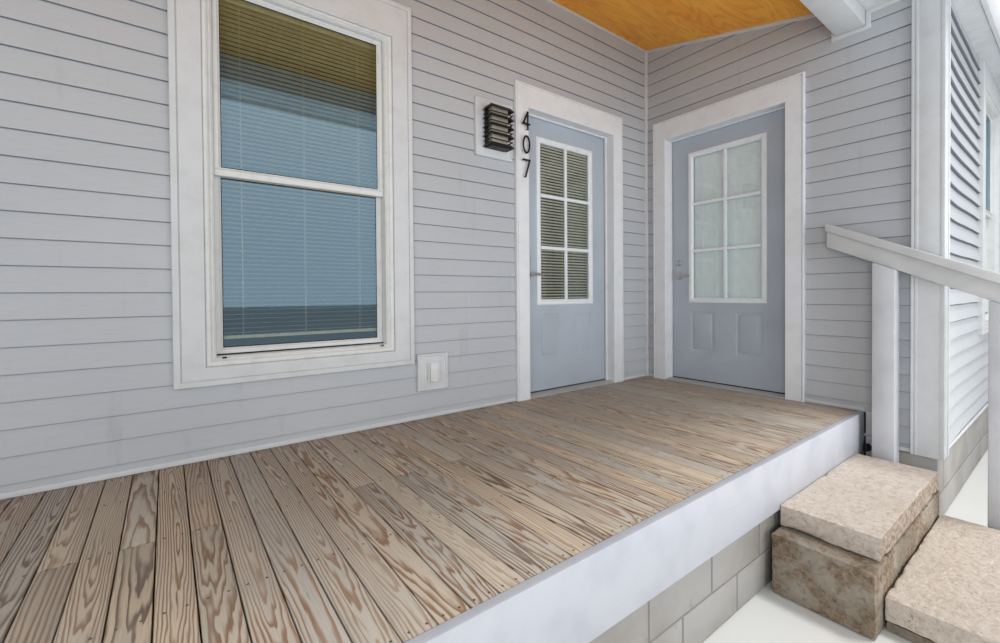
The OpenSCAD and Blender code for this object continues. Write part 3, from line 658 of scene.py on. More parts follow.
def makeDeckLook():
    look = Look("weatheredPine")
    seed = look.stored("boardSeed")
    tight = look.band(look.noise(look.join(seed * 53, 3, 0), 1.0, 0), 0.34, 0.66) * 72 + 78
    rings, knot = growthRings(look, look.stored("acrossShare") * 0.083, look.y, seed, tight, 0.036)
    share = rings % 1.0
    late = look.band(share, 0.34, 0.78) * (1 - look.band(share, 0.88, 1.0))
    fibre = look.noise(look.join(look.x * 420, look.y * 9, seed * 5), 1.0, 3, 0.6)
    blotch = look.noise(look.join(look.x * 9, look.y * 2.4, seed * 30), 1.0, 4, 0.55)
    pale = look.ramp(look.noise(look.join(seed * 77, 0, 0), 1.0, 0), (0.22, (168, 154, 138)),
                     (0.38, (198, 184, 166)), (0.5, (188, 182, 173)), (0.62, (206, 191, 170)),
                     (0.78, (196, 175, 150)))
    dark = look.ramp(look.noise(look.join(seed * 31, 5, 0), 1.0, 0), (0.3, (108, 86, 70)),
                     (0.5, (142, 106, 76)), (0.7, (118, 100, 88)))
    strong = look.band(look.noise(look.join(seed * 13, look.y * 1.1, 7), 1.0, 2), 0.25, 0.65) * 0.5 + 0.5
    strong = strong * (look.band(look.noise(look.join(seed * 19, 0, 9), 1.0, 0), 0.34, 0.46) * 0.5 + 0.5)
    tone = look.mix(late * strong, pale, dark)
    tone = look.stain(tone, blotch, 0.48, 0.72, 0.45, (166, 160, 154))
    tone = look.stain(tone, fibre, 0.45, 0.75, 0.3, (114, 100, 88))
    tone = look.mix((1 - look.band(knot, 0.015, 0.06)) * 0.75, tone, (104, 76, 54))
    look.finish(Base_Color=tone, Roughness=fibre * 0.15 + 0.6)
    look.bump(late * -0.6 + fibre * 0.6, 0.35, 0.0015)
    return look


def makePlyLook():
    # the turned veneer of the ceiling: wide loose figure, amber finish, small dark knots
    look = Look("amberPly", Specular_IOR_Level=0.4)
    field = look.stretched((0.55, 2.6, 0), 1.6, 3, 0.5, 0.6)
    share = (field * 15) % 1.0
    late = look.band(share, 0.3, 0.8) * (1 - look.band(share, 0.86, 1.0))
    fibre = look.stretched((12, 260, 0), 1.0, 3, 0.6)
    broad = look.noise(look.join(look.x * 0.8, look.y * 2.0, 4), 2.0, 3, 0.5)
    tone = look.mix(look.band(broad, 0.3, 0.7), (247, 180, 63), (238, 155, 44))
    tone = look.mix(late * 0.42, tone, (209, 122, 32))
    tone = look.stain(tone, fibre, 0.5, 0.8, 0.25, (211, 129, 39))
    knot = look.cells(look.join(look.x * 1.5, look.y * 2.2, 0), 2.0)
    tone = look.mix((1 - look.band(knot, 0.02, 0.045)) * 0.85, tone, (84, 44, 20))
    tone = look.mix((1 - look.band(knot, 0.03, 0.2)) * 0.35, tone, (216, 127, 32))
    look.finish(Base_Color=tone, Roughness=fibre * 0.2 + 0.34)
    look.bump(fibre + late, 0.15, 0.0008)
    return look


def makeFramingLook():
    look = Look("sawnPine", Roughness=0.75)
    seed = look.stretched((0.3, 0, 0), 4, 0)
    rings, knot = growthRings(look, look.z - look.y * 0.08, look.x * 0.6, seed, 120, 0.03)
    share = rings % 1.0
    tone = look.mix(look.band(share, 0.3, 0.85) * (1 - look.band(share, 0.92, 1.0)), (206, 174, 124),
                    (172, 130, 82))
    tone = look.mix((1 - look.band(knot, 0.02, 0.07)) * 0.7, tone, (110, 72, 42))
    look.finish(Base_Color=tone)
    look.bump(look.stretched((8, 90, 90), 1.0, 3), 0.3, 0.001)
    return look


# Masonry: painted block, and cast stone with pits, sand and stains
def makeBlockLook():
    look = Look("paintedBlock", Roughness=0.82)
    grain = look.noise(scale=210, detail=4, rough=0.7)
    tone = look.mix(look.band(look.noise(scale=3.2, detail=6, rough=0.62), 0.35, 0.72), (164, 162, 161),
                    (148, 144, 138))
    tone = look.stain(tone, look.noise(scale=7, detail=6, rough=0.7), 0.6, 0.72, 0.55, (129, 121, 107))
    tone = look.stain(tone, grain, 0.6, 0.75, 0.4, (134, 130, 124))
    look.finish(Base_Color=tone)
    look.bump(grain + look.noise(scale=38, detail=3) * 0.8, 0.5, 0.0025)
    return look


def makeMortarLook():
    look = Look("paintedMortar", Roughness=0.88)
    look.finish(Base_Color=look.mix(look.noise(scale=12, detail=5), (144, 142, 139), (130, 126, 120)))
    look.bump(look.noise(scale=160, detail=4, rough=0.7), 0.6, 0.002)
    return look


def makeTreadLook():
    # cast face: sand and small stones in a pale binder, with air holes; hollows are painted darker than the
    # crests and the air holes dark, as painted shade
    look = Look("sandStone", Roughness=0.88)
    relief = look.noise(scale=46, detail=8, rough=0.74, warp=0.3)
    sand = look.noise(scale=150, detail=4, rough=0.8)
    cloud = look.noise(scale=4, detail=5, rough=0.6)
    pitAndShade = 1 - look.band(look.cells(scale=48), 0.05, 0.16)
    pitAndShade = pitAndShade * look.band(look.noise(scale=15, detail=2), 0.5, 0.58)
    tone = look.ramp(relief * 0.8 + sand * 0.2, (0.28, (134, 116, 101)), (0.4, (200, 184, 170)),
                     (0.52, (225, 213, 202)), (0.72, (237, 229, 221)))
    tone = look.stain(tone, cloud, 0.38, 0.7, 0.4, (204, 190, 174))
    tone = look.mix(pitAndShade * 0.75, tone, (98, 84, 72))
    # the broken front edge is painted darker and fuller of holes: partly its rougher broken face, partly
    # painted shade
    front = look.band(look.split(look.node("ShaderNodeTexCoord", out="Normal"))[1], -0.5, -0.9)
    brokenAndShaded = look.ramp(relief, (0.38, (100, 86, 75)), (0.5, (152, 136, 121)), (0.64, (192, 177, 161)))
    look.finish(Base_Color=look.mix(front * 0.85, tone, brokenAndShaded))
    look.bump(relief * 1.6 + sand * 0.3 + pitAndShade * -0.6, 1.0, 0.008)
    return look


def makeRiserLook():
    # a thin grey render, worn through to brown stones in patches, and damp
    look = Look("wornRiser", Roughness=0.9)
    relief = look.noise(scale=40, detail=9, rough=0.76, warp=0.4)
    patch = look.noise(scale=6, detail=6, rough=0.6, warp=0.5)
    bare = look.band(patch, 0.46, 0.58)
    tone = look.mix(look.band(look.noise(scale=3.5, detail=6, rough=0.65), 0.38, 0.62), (172, 161, 148),
                    (142, 134, 119))
    worn = look.ramp(relief, (0.34, (84, 69, 56)), (0.48, (128, 109, 90)), (0.64, (176, 156, 133)))
    tone = look.stain(tone, relief, 0.5, 0.34, 0.6, (104, 91, 76))
    tone = look.mix(bare * 0.85, tone, worn)
    tone = look.stain(tone, look.noise(scale=11, detail=6, rough=0.7), 0.56, 0.68, 0.6, (112, 97, 72))
    look.finish(Base_Color=tone)
    look.bump(relief * 1.6 + bare * -0.5 + patch * 1.2, 1.0, 0.008)
    return look


def makeShingleLook():
    look = Look("mineralShingle", Roughness=0.92)
    grit = look.noise(scale=520, detail=2, rough=0.8)
    tone = look.mix(look.stored("boardSeed"), (62, 63, 68), (92, 92, 96))
    tone = look.stain(tone, grit, 0.55, 0.75, 0.6, (128, 126, 124))
    tone = look.mix((1 - look.band(grit, 0.3, 0.45)) * 0.5, tone, (38, 38, 42))
    look.finish(Base_Color=tone)
    look.bump(grit, 0.5, 0.0015)
    return look


def makeRoofBodyLook():
    # felt on what faces up or out, bare boards on what faces down
    look = Look("roofBody", Roughness=0.9)
    up = look.split(look.node("ShaderNodeTexCoord", out="Normal"))[2]
    felt = look.mix(look.noise(scale=30, detail=4), (58, 58, 61), (74, 73, 74))
    boards = look.mix(look.stretched((2, 14, 0), 2, 4), (206, 184, 144), (186, 158, 112))
    look.finish(Base_Color=look.mix(look.band(up, -0.6, -0.4), boards, felt))
    return look


def makeTonedLook(name, first, second, rough, scale):
    look = Look(name, Roughness=rough)
    look.finish(Base_Color=look.mix(look.noise(scale=scale, detail=3), first, second))
    return look


trimLook = makeTrimLook("creamTrim", (207, 211, 216), (197, 200, 203))
# the door casings' copy of the trim is paler: painted light
litDoorTrimLook = makeTrimLook("doorTrim", (223, 227, 233), (214, 217, 222))
sidingLook, plasterLook, doorLook = makeSidingLook(), makePlasterLook(), makeDoorLook()
# the fascia's copy of the brushed paint is darker and bluer: painted shade
railPaint, postPaint, shadedFasciaPaint = (makeBrushedLook(*row) for row in (
    ("railPaint", "y", (197, 199, 202), (185, 188, 192)),
    ("postPaint", "z", (193, 196, 203), (182, 185, 192)),
    ("shadedFasciaPaint", "x", (189, 192, 201), (177, 181, 191))))
vinylLook = makeVinylLook("moulding", (216, 219, 220), (204, 206, 206))
liteLook = makeVinylLook("liteMoulding", (227, 234, 240), (216, 222, 227))
deckLook, plyLook = makeDeckLook(), makePlyLook()
glassLook = makeGlassLook("windowPane", (0.88, 0.91, 0.9), (0.52, 0.79, 1.0), 6.4, 0.03)
doorGlassLook = makeGlassLook("doorPane", (0.97, 0.98, 0.98), (0.88, 0.96, 1.0), 2.0, 0.0)
sillLook = makeTonedLook("sillCap", (184, 185, 184), (166, 165, 162), 0.4, 30)
framingLook, blockLook, mortarLook = makeFramingLook(), makeBlockLook(), makeMortarLook()
# black rubber for gaskets, strips and sweeps, and painted shade: the sheets of the unlit rooms and the dark
# boxes in a keyway, drains and a fascia joint
darkAndShadeLook = makeTonedLook("blackRubberAndPaintedShade", (30, 30, 32), (44, 42, 42), 0.9, 4)
frostLook = makeTonedLook("frostedGlass", (176, 172, 160), (150, 146, 136), 0.28, 40)
slatLook = makeSlatLook("oliveSlat", (226, 216, 186), (206, 196, 166))
tanSlatLook = makeSlatLook("tanSlat", (186, 184, 164), (170, 168, 148))
paleSlatLook = makeSlatLook("paleSlat", (229, 241, 242), (220, 232, 233))
nickelLook = makeMetalLook("satinNickel", (204, 202, 198), (182, 180, 174), 0.26)
steelLook = makeMetalLook("hingeSteel", (170, 170, 168), (140, 138, 134), 0.3)
blackLook = makeMetalLook("blackEnamel", (26, 26, 27), (44, 44, 45), 0.35, 0.0)
treadLook, riserLook = makeTreadLook(), makeRiserLook()
screwLook = makeMetalLook("weatheredScrew", (118, 108, 98), (92, 84, 76), 0.5, 0.5)
print("looks ready")

# Walls: plaster inside, siding courses outside
dress(plasterLook, "wall_back", "wall_back_over_door", "wall_corner", "wall_side_over_door", "wall_side",
      "wall_front", "wall_end")
lightBlock = {"x": -1.706, "z": 1.838, "wide": 0.300, "high": 0.375, "rim": 0.02}
outletBlock = {"x": -2.181, "z": 0.281, "wide": 0.203, "high": 0.220, "rim": 0.02}
cornerBoard, insideTrim, aboveCeiling = 0.105, 0.028, 3.1


def doorHole(x):
    reach = door["half"] + door["side"]
    return (x - reach, 0, x + reach, door["top"] + door["head"])


def windowHole(side):
    x, z, reach = window[side + "X"], window[side + "Z"], window["half"] + window["side"]
    return (x - reach, z - window["foot"], x + reach, z + window["high"] + window[side + "Head"])


def blockHole(block):
    x, z, half, rise = block["x"], block["z"], block["wide"] / 2, block["high"] / 2
    return (x - half, z - rise, x + half, z + rise)


def sideTop(x):
    return ceilingAt(x) if x < house["beamOut"] else house["soffitHigh"]


makeSiding("sidingBack", "back", [(-house["porchLong"] + cornerBoard, -insideTrim + 0.002, 0.02)], [
    doorHole(doorMiddle["back"].x), windowHole("back"), blockHole(lightBlock), blockHole(outletBlock)],
    lambda x: ceilingAt(0))
makeSiding("sidingSide", "side", [
    (insideTrim - 0.002, house["fasciaOut"], 0.02),
    (house["fasciaOut"], house["sideLong"] - cornerBoard, house["sidingFoot"])],
    [doorHole(-doorMiddle["side"].y),
     (house["beamIn"], house["beamFoot"], house["beamOut"], aboveCeiling)], sideTop)
makeSiding("sidingFront", "front", [(cornerBoard, house["frontLong"] - cornerBoard, house["sidingFoot"])],
           [windowHole("front")], lambda x: house["soffitHigh"], top=0.001, wobble=0.008, wobbleSize=1.8,
           flare=0.016, flareAt=cornerBoard, flareReach=0.32)
makeSiding("sidingEnd", "end", [(-house["sideLong"] + cornerBoard, house["wallThick"], house["sidingFoot"])],
           [], lambda x: sideTop(-x), wobble=0.006)
print("siding done")


# Mouldings round doors and windows: a flat board, a fine groove and a raised lip at its outer edge
board = {"out": 0.030, "groove": 0.025, "proud": 0.032, "doorLip": 0.013, "windowLip": 0.027}


def boardProfile(lip):
    out, groove, proud = board["out"], board["groove"], board["proud"]
    return [(0, 0, 0), (0, 0, out - 0.003), (0, 0.003, out), (1, -lip - 0.004, out),
            (1, -lip - 0.002, groove), (1, -lip, groove), (1, -lip + 0.001, out), (1, -lip + 0.003, proud),
            (1, -0.003, proud), (1, 0, out - 0.001), (1, 0, 0)]


doorOpening = (-door["half"], 0, door["half"], door["top"])
jamb = {"thick": 0.018, "stop": 0.010, "stopFrom": 0.048, "stopTo": 0.063, "sill": 0.014, "sillOut": 0.028}
seal = {"low": 0.0138, "shoulder": 0.0175, "top": 0.0198, "near": 0.070, "far": 0.108}


def addDoorFrame(bm):
    thick, stop, near, far = jamb["thick"], jamb["stop"], -jamb["stopFrom"], -jamb["stopTo"]
    back = -house["wallThick"]
    addRing(bm, doorOpening, (door["side"], 0, door["head"]), boardProfile(board["doorLip"]), True)
    addRing(bm, doorOpening, (0, 0, 0), [(0, thick, 0), (0, 0, 0), (0, 0, near + 0.002), (0, -stop, near),
                                         (0, -stop, far), (0, 0, far), (0, 0, back), (0, thick, back)], True)


def addSill(bm):
    half, high, deep, out = door["half"] + 0.0005, jamb["sill"], house["wallThick"], jamb["sillOut"]
    addPrism(bm, [(-out, 0.0005), (-out, 0.006), (-0.02, 0.009), (0.055, high), (0.06, high - 0.003),
                  (0.07, high - 0.003), (0.075, high), (deep, high), (deep, 0.0005)], -half, half)


def addSeal(bm):
    # the dark sweep under the slab, and the soft strip in the stop's corner
    half, near, far = door["half"] - 0.0015, seal["near"], seal["far"]
    low, shoulder, top = seal["low"], seal["shoulder"], seal["top"]
    addPrism(bm, [(near, low), (near, shoulder), (near + 0.004, top), (far - 0.004, top), (far, shoulder),
                  (far, low)], -half, half)
    addRing(bm, doorOpening, (0, 0, 0), [(0, -0.001, -0.0635), (0, -0.007, -0.0635), (0, -0.008, -0.0655),
                                         (0, -0.006, -0.0672), (0, -0.001, -0.0672)], True)


for name, place in doorPlace.items():
    newPiece(name + "DoorFrame", litDoorTrimLook, [(place, addDoorFrame)], slot="white_trim",
             replaces=(name + "_door_frame",))
    newPiece(name + "DoorSill", sillLook, [(place, addSill)], slot="white_trim")
    newPiece(name + "DoorSeal", darkAndShadeLook, [(place, addSeal)])

# Windows: casing, rounded frame, two sashes with glazing beads, panes, and a slatted blind on the room side
sash = {"frameBar": 0.042, "frameHead": 0.024, "bar": 0.030, "head": 0.022, "meet": 0.040, "foot": 0.034,
        "thick": 0.025, "upperY": 0.018, "lowerY": 0.046, "gasket": 0.0055, "gasketIn": 0.0045,
        "drainIn": 0.030, "drainHalf": 0.009, "drainLow": 0.011, "drainTop": 0.001}
sash["wide"] = window["half"] - sash["frameBar"]
sash["high"] = (window["high"] - sash["frameBar"] - sash["frameHead"] + sash["meet"]) / 2
sash["upperZ"] = window["high"] - sash["frameHead"] - sash["high"]
windowOpening = (-window["half"], 0, window["half"], window["high"])
# each sash has its foot's height, its depth in the wall and the heights of its lower and upper bars
sashPair = ((sash["upperZ"], sash["upperY"], sash["meet"], sash["head"]),
            (sash["frameBar"], sash["lowerY"], sash["foot"], sash["meet"]))


def casingBuilder(head):
    sizes = (window["side"], window["foot"], head)
    return lambda bm: addRing(bm, windowOpening, sizes, boardProfile(board["windowLip"]))


def addWindowFrame(bm):
    # one broad soft moulding from the casing to the sash, with two fine lines near its inner edge
    bar = sash["frameBar"]
    outline = [(0, 0.019), (0.04, 0.0225), (0.14, 0.0245), (0.3, 0.0235), (0.46, 0.0195), (0.58, 0.0145),
               (0.62, 0.0115), (0.65, 0.0115), (0.68, 0.0135), (0.76, 0.0125), (0.83, 0.0085),
               (0.86, 0.0055), (0.89, 0.0055), (0.93, 0.0045), (1, -0.002), (1, -0.103), (0.01, -0.103)]
    addRing(bm, windowOpening, (bar, bar, sash["frameHead"]),
            [(-share, -0.0003, out) for share, out in outline])


def drainSpots():
    # one drain at each end of the sill: its left, low, right and top
    for side in (-1, 1):
        x, foot, half = side * (sash["wide"] - sash["drainIn"]), sash["frameBar"], sash["drainHalf"]
        yield x - half, foot - sash["drainLow"], x + half, foot - sash["drainTop"]


def addSashes(bm):
    # each sash has a bead that slopes to the glass, and the meeting rail a sloped lip
    bar, wide = sash["bar"], sash["wide"] - 0.001
    for z0, y, foot, head in sashPair:
        back = -y - sash["thick"]
        opening = (-wide + bar, z0 + foot, wide - bar, z0 + sash["high"] - head)
        addRing(bm, opening, (bar, foot, head), [
            (0, 0, -y - 0.009), (0, 0.0085, -y - 0.0025), (0, 0.0105, -y), (1, -0.003, -y),
            (1, 0, -y - 0.003), (1, 0, back), (0, 0.0105, back), (0, 0, -y - 0.017)])
    y, lip = sash["upperY"], sash["upperZ"] + sash["meet"]
    addPrism(bm, [(y + 0.001, lip - 0.002), (y - 0.006, lip - 0.003), (y - 0.007, lip - 0.007),
                  (y + 0.001, lip - 0.014)], -sash["wide"], sash["wide"])
    for spot in drainSpots():
        addRing(bm, spot, (0.004, 0.004, 0.004), [
            (0, 0, 0.010), (0, 0.0005, 0.020), (1, -0.0015, 0.021), (1, 0, 0.0195), (1, 0, 0.010)])


def addSashStrips(bm):
    # weather strip beneath the lower sash, the gaskets of the panes, and at each drain a dark box inside its
    # cover, painted shade of the drain's opening
    wide, foot, y, gasket = sash["wide"], sash["frameBar"], sash["lowerY"], sash["gasket"]
    addBox(bm, (-wide, y - 0.004, foot - 0.0005), (wide, y + 0.02, foot + 0.007))
    for z0, y, foot, head in sashPair:
        inset = sash["bar"] + sash["gasketIn"]
        low, high = z0 + foot + sash["gasketIn"], z0 + sash["high"] - head - sash["gasketIn"]
        addRing(bm, (-wide + inset, low, wide - inset, high), (gasket, gasket, gasket),
                [(0, 0, -y - 0.0098), (1, 0, -y - 0.0090), (1, 0, -y - 0.0110)])
    for x0, z0, x1, z1 in drainSpots():
        addBox(bm, (x0, -0.0125, z0), (x1, -0.0115, z1))


newPiece("windowCasings", trimLook, [(windowPlace["back"], casingBuilder(window["backHead"])),
                                     (windowPlace["front"], casingBuilder(window["frontHead"]))],
         slot="white_trim", replaces=("window_casings",))
newPiece("windowFrames", vinylLook, [(place, addWindowFrame) for place in windowPlaces], smooth=40,
         slot="vinyl_frame", replaces=("window_frames",))
newPiece("windowSashes", vinylLook, [(place, addSashes) for place in windowPlaces], slot="vinyl_frame")
newPiece("windowStrips", darkAndShadeLook, [(place, addSashStrips) for place in windowPlaces])
dress(glassLook, "window_glass")


# A slat is a shallow curved strip; a blind is a column of them, tipped by one angle
def makeSlatTree():
    tree = GeoTree("blindSlats", count=10, pitch=0.0215, long=0.8, wide=0.025, crown=0.002, tilt=0.7)
    count, pitch, long, wide, crown, tilt = tree.ask("count", "pitch", "long", "wide", "crown", "tilt")
    column = tree.node("GeometryNodeMeshLine", {"mode": "OFFSET"},
                       {"Count": count, "Offset": tree.join(z=pitch)})
    x, y = tree.here()[:2]
    slat = tree.move(tree.grid(2, 6), Position=tree.join(x * long, y * wide, (1.0 - y * y * 4.0) * crown))
    return tree.close(tree.scatter(tree.scatter(slat, column, turn=tree.join(x=tilt))))


slatTree = makeSlatTree()
blind = {"pitch": 0.0222, "wide": 0.025, "tilt": -0.12, "y": 0.0845, "foot": 0.130, "sheetY": 0.0985,
         "roomY": 0.1012, "fold": 0.0018, "cords": (-0.29, 0.0, 0.29), "shell": 0.0004, "first": 0.012,
         "rail": 0.03}
blind["top"] = window["high"] - sash["frameHead"]


def addBlindRails(bm):
    # head rail, foot rail and the ladder cords
    half, y, foot, top, cord = sash["wide"] - 0.006, blind["y"], blind["foot"], blind["top"], 0.0008
    addBox(bm, (-half, y - 0.011, top - 0.028), (half, y + 0.011, top - 0.002))
    addBox(bm, (-half, y - 0.009, foot - 0.016), (half, y + 0.009, foot))
    for x in blind["cords"]:
        for away in (-0.0105, 0.0105):
            addBox(bm, (x - cord, y + away - cord, foot), (x + cord, y + away + cord, top - 0.026))


def foldBuilder(half, z0, z1, y, out):
    # closed slats: one folded sheet with a step at each slat, facing the way it stands out
    count = round((z1 - z0) / blind["pitch"])
    step, away = (z1 - z0) / count, math.copysign(1, out)
    outline = [(y, z0)]
    for i in range(count):
        outline += [(y + out, z0 + step * i + 0.0008), (y + away * 0.0005, z0 + step * (i + 1) - 0.0004)]
    outline += [(y - away * 0.001, z1), (y - away * 0.001, z0)]
    return lambda bm: addPrism(bm, outline, -half, half)


# a dark sheet beyond the blind: painted shade of the unlit room
def addWindowShadeSheet(bm):
    wide, y = sash["wide"], blind["sheetY"]
    addBox(bm, (-wide, y, sash["frameBar"]), (wide, y + 0.001, blind["top"]))


slatTree.grow("windowSlats", slatLook, [
    place @ Vector((0, blind["y"], blind["foot"] + blind["first"])) for place in windowPlaces],
    place=unmoved, slot="blind", shell=blind["shell"], pitch=blind["pitch"],
    count=int((blind["top"] - blind["rail"] - blind["foot"]) / blind["pitch"]),
    long=2 * sash["wide"] - 0.014, wide=blind["wide"], tilt=blind["tilt"])
newPiece("windowBlindRails", slatLook, [(place, addBlindRails) for place in windowPlaces], bevel=0.0006,
         slot="blind")
newPiece("windowPaintedShadeSheet", darkAndShadeLook, [(place, addWindowShadeSheet) for place in windowPlaces], bevel=0.0003,
         replaces=("window_blinds",))
newPiece("windowRoomSlats", paleSlatLook, [
    (place, foldBuilder(sash["wide"] - 0.002, blind["foot"], blind["top"], blind["roomY"], blind["fold"]))
    for place in windowPlaces], smooth=0, slot="blind")
print("windows done")

# Doors: pressed slab, moulded lite with two by three panes, blind, lever and bolt
lite = {"half": 0.307, "bar": 0.043, "foot": 0.662, "high": 1.258, "muntin": 0.027, "middle": 0.090,
        "face": 0.022, "frontPane": 0.0800, "roomPane": 0.0975, "pane": 0.0028}
liteX = lite["half"] - lite["bar"]
liteZ0, liteZ1 = lite["foot"] + lite["bar"], lite["foot"] + lite["high"] - lite["bar"]
doorBlind = {"roomY": 0.0960, "sideY": 0.0915, "fold": 0.0012, "shadeSheetY": 0.0936, "shadeSheetThick": 0.0006,
             "y": 0.0882, "slats": {"pitch": 0.0225, "wide": 0.0122, "count": 52, "crown": 0.0008,
                                    "tilt": -1.05, "long": 2 * liteX - 0.004}}
doorFaces = ((-1, door["face"]), (1, door["back"]))
softened = {"deep": 0.08, "edge": (0.455, 0.4575), "panelHalf": 0.33, "panels": (0.14, 0.62)}


def addLite(bm):
    # one moulding on each face of the slab; the profile runs from the glass to the outer edge
    profile = [(-0.0005, -0.012), (0.0005, -0.003), (0.009, 0.003), (0.013, 0.0075), (0.026, 0.008),
               (0.035, 0.006), (0.041, 0.003), (lite["bar"], -0.0005), (0.004, -0.012)]
    for side in (-1, 1):
        face = lite["middle"] + side * lite["face"]
        addRing(bm, (-liteX, liteZ0, liteX, liteZ1), (0, 0, 0), [
            (0, more, -(face + side * out)) for more, out in profile])
        half, base, top = lite["muntin"] / 2, face - side * 0.0105, face + side * 0.003
        edge = top - side * 0.001
        bar = [(-half, base), (-half * 0.8, edge), (-half * 0.5, top), (half * 0.5, top), (half * 0.8, edge),
               (half, base)]
        addPrism(bm, bar, liteZ0, liteZ1, "z")
        for k in (1, 2):
            z = liteZ0 + (liteZ1 - liteZ0) * k / 3
            addPrism(bm, [(y - side * 0.0004, z + a) for a, y in bar], -liteX, liteX, "x")


def liteSheet(y, thick):
    return lambda bm: addBox(bm, (-liteX, y, liteZ0), (liteX, y + thick, liteZ1))


lever = {"x": -0.395, "z": 0.889, "out": 0.053, "long": 0.118, "rose": 0.0325, "boltUp": 0.112}
boltZ = lever["z"] + lever["boltUp"]


def addLever(bm):
    x, z = lever["x"], lever["z"]
    for side, face in doorFaces:
        y0, y1 = face + side * 0.004, face + side * (lever["out"] - 0.007)
        addTube(bm, [(x, y0 + (y1 - y0) * t, z) for t in (0.0, 0.5, 0.9)],
                [(0.0095, 0.0095), (0.0085, 0.0085), (0.0098, 0.0098)], 24)
        shares = [i / 14 for i in range(15)]
        path = [(x - 0.011 + (lever["long"] + 0.010) * t, y1 - side * 0.008 * t * t,
                 z + 0.002 * math.sin(t * 3)) for t in shares]
        sizes = [(0.0062 - 0.0022 * t, 0.0112 - 0.0032 * t) for t in shares]
        sizes[0] = sizes[-1] = (0.003, 0.006)
        addTube(bm, path, sizes, 20)


def addRoses(bm):
    # the lever's rose and the bolt's collar on both faces, the lock's plug outside and its turn inside
    spot, bolt, radius = (lever["x"], lever["z"]), (lever["x"], boltZ), lever["rose"]
    rose = [(radius, 0.0004), (radius, 0.004), (radius - 0.002, 0.007), (radius - 0.006, 0.0088),
            (0.0125, 0.0098), (0.0112, 0.009)]
    collar = [(0.0245, 0.0004), (0.0245, 0.005), (0.023, 0.009), (0.019, 0.0125), (0.0175, 0.0122),
              (0.017, 0.010)]
    for side, face in doorFaces:
        addLathe(bm, [(r, face + side * out) for r, out in rose], spot)
        addLathe(bm, [(r, face + side * out) for r, out in collar], bolt)
    plug = [(0.0165, 0.0102), (0.016, 0.0135), (0.0145, 0.0142)]
    addLathe(bm, [(r, door["face"] - out) for r, out in plug], bolt)
    addTube(bm, [(lever["x"], door["back"] + 0.010 + 0.011 * t, boltZ) for t in (0, 0.3, 0.7, 1)],
            [(0.0045, 0.011), (0.004, 0.014), (0.0035, 0.015), (0.002, 0.013)], 20)


# the keyway is a thin dark box on the lock's plug: painted shade of its slot
def addKeywayShade(bm):
    x, y, half, rise = lever["x"], door["face"] - 0.0142, 0.0011, 0.005
    addBox(bm, (x - half, y - 0.0004, boltZ - rise), (x + half, y + 0.0002, boltZ + rise))


def slabEdges(place):
    # only the upright outer edges of the slab's front and the pressed panels are softened
    back, edge, panels = place.inverted(), softened["edge"], softened["panels"]

    def wanted(v):
        p = back @ v.co
        pressed = abs(p.x) < softened["panelHalf"] and panels[0] < p.z < panels[1]
        return p.y < softened["deep"] and (edge[0] < abs(p.x) < edge[1] or pressed)
    return lambda e: all(wanted(v) for v in e.verts)


for name, place in doorPlace.items():
    leaf, node = {"body": name + "_door_leaf"}, name + "_door"
    softCopy(node, doorLook, bevel=0.0022, segments=3, keep=slabEdges(place), slot="door_paint", **leaf)
    newPiece(name + "DoorLite", liteLook, [(place, addLite)], smooth=35, slot="vinyl_frame",
             replaces=(node + "_lite",), **leaf)
    newPiece(name + "DoorPanes", doorGlassLook, [
        (place, liteSheet(lite[key], lite["pane"])) for key in ("frontPane", "roomPane")],
        smooth=0, slot="glass", bevel=0.0003, replaces=(node + "_glass",), **leaf)
    newPiece(name + "DoorRoomSlats", paleSlatLook, [
        (place, foldBuilder(liteX - 0.001, liteZ0, liteZ1, doorBlind["roomY"], doorBlind["fold"]))],
        smooth=0, slot="blind", **leaf)
    newPiece(name + "DoorLever", nickelLook, [(place, addLever)], smooth=50, slot="satin_nickel",
             replaces=(node + "_lever",), body=name + "_door_handle")
    newPiece(name + "DoorLock", nickelLook, [(place, addRoses)], smooth=35, slot="satin_nickel",
             replaces=(node + "_lock",), **leaf)
    newPiece(name + "DoorKeywayShade", darkAndShadeLook, [(place, addKeywayShade)], bevel=0.0001, **leaf)
    dress(steelLook, name + "_door_hinges")

# the back door's slats are open in front of a dark sheet, painted shade of the unlit room; the side door's
# are closed
newPiece("backDoorPaintedShadeSheet", darkAndShadeLook, [
    (doorPlace["back"], liteSheet(doorBlind["shadeSheetY"], doorBlind["shadeSheetThick"]))],
    body="back_door_leaf", bevel=0.0002)
slatTree.grow("backDoorSlats", tanSlatLook, [
    doorPlace["back"] @ Vector((0, doorBlind["y"], liteZ0 + blind["first"]))], place=unmoved,
    body="back_door_leaf", slot="blind", shell=blind["shell"], **doorBlind["slats"])
newPiece("sideDoorSlats", paleSlatLook, [
    (doorPlace["side"], foldBuilder(liteX - 0.001, liteZ0, liteZ1, doorBlind["sideY"], -doorBlind["fold"]))],
    body="side_door_leaf", smooth=0, slot="blind")
print("doors done")


# Small fittings on the back wall: carrying blocks, louvred light, outlet cover, house figures
def blockRimBuilder(block):
    x0, z0, x1, z1 = blockHole(block)
    rim = block["rim"]
    return lambda bm: addRing(bm, (x0 + rim, z0 + rim, x1 - rim, z1 - rim), (rim, rim, rim), [
        (0, 0, 0.002), (0, 0, 0.024), (0, 0.004, 0.0255), (0, 0.007, 0.031), (1, -0.004, 0.032),
        (1, 0, 0.029), (1, 0, 0.0)])


def blockFaceBuilder(block):
    x0, z0, x1, z1 = blockHole(block)
    return lambda bm: addBox(bm, (x0 + 0.004, -0.0255, z0 + 0.004), (x1 - 0.004, -0.0005, z1 - 0.004))


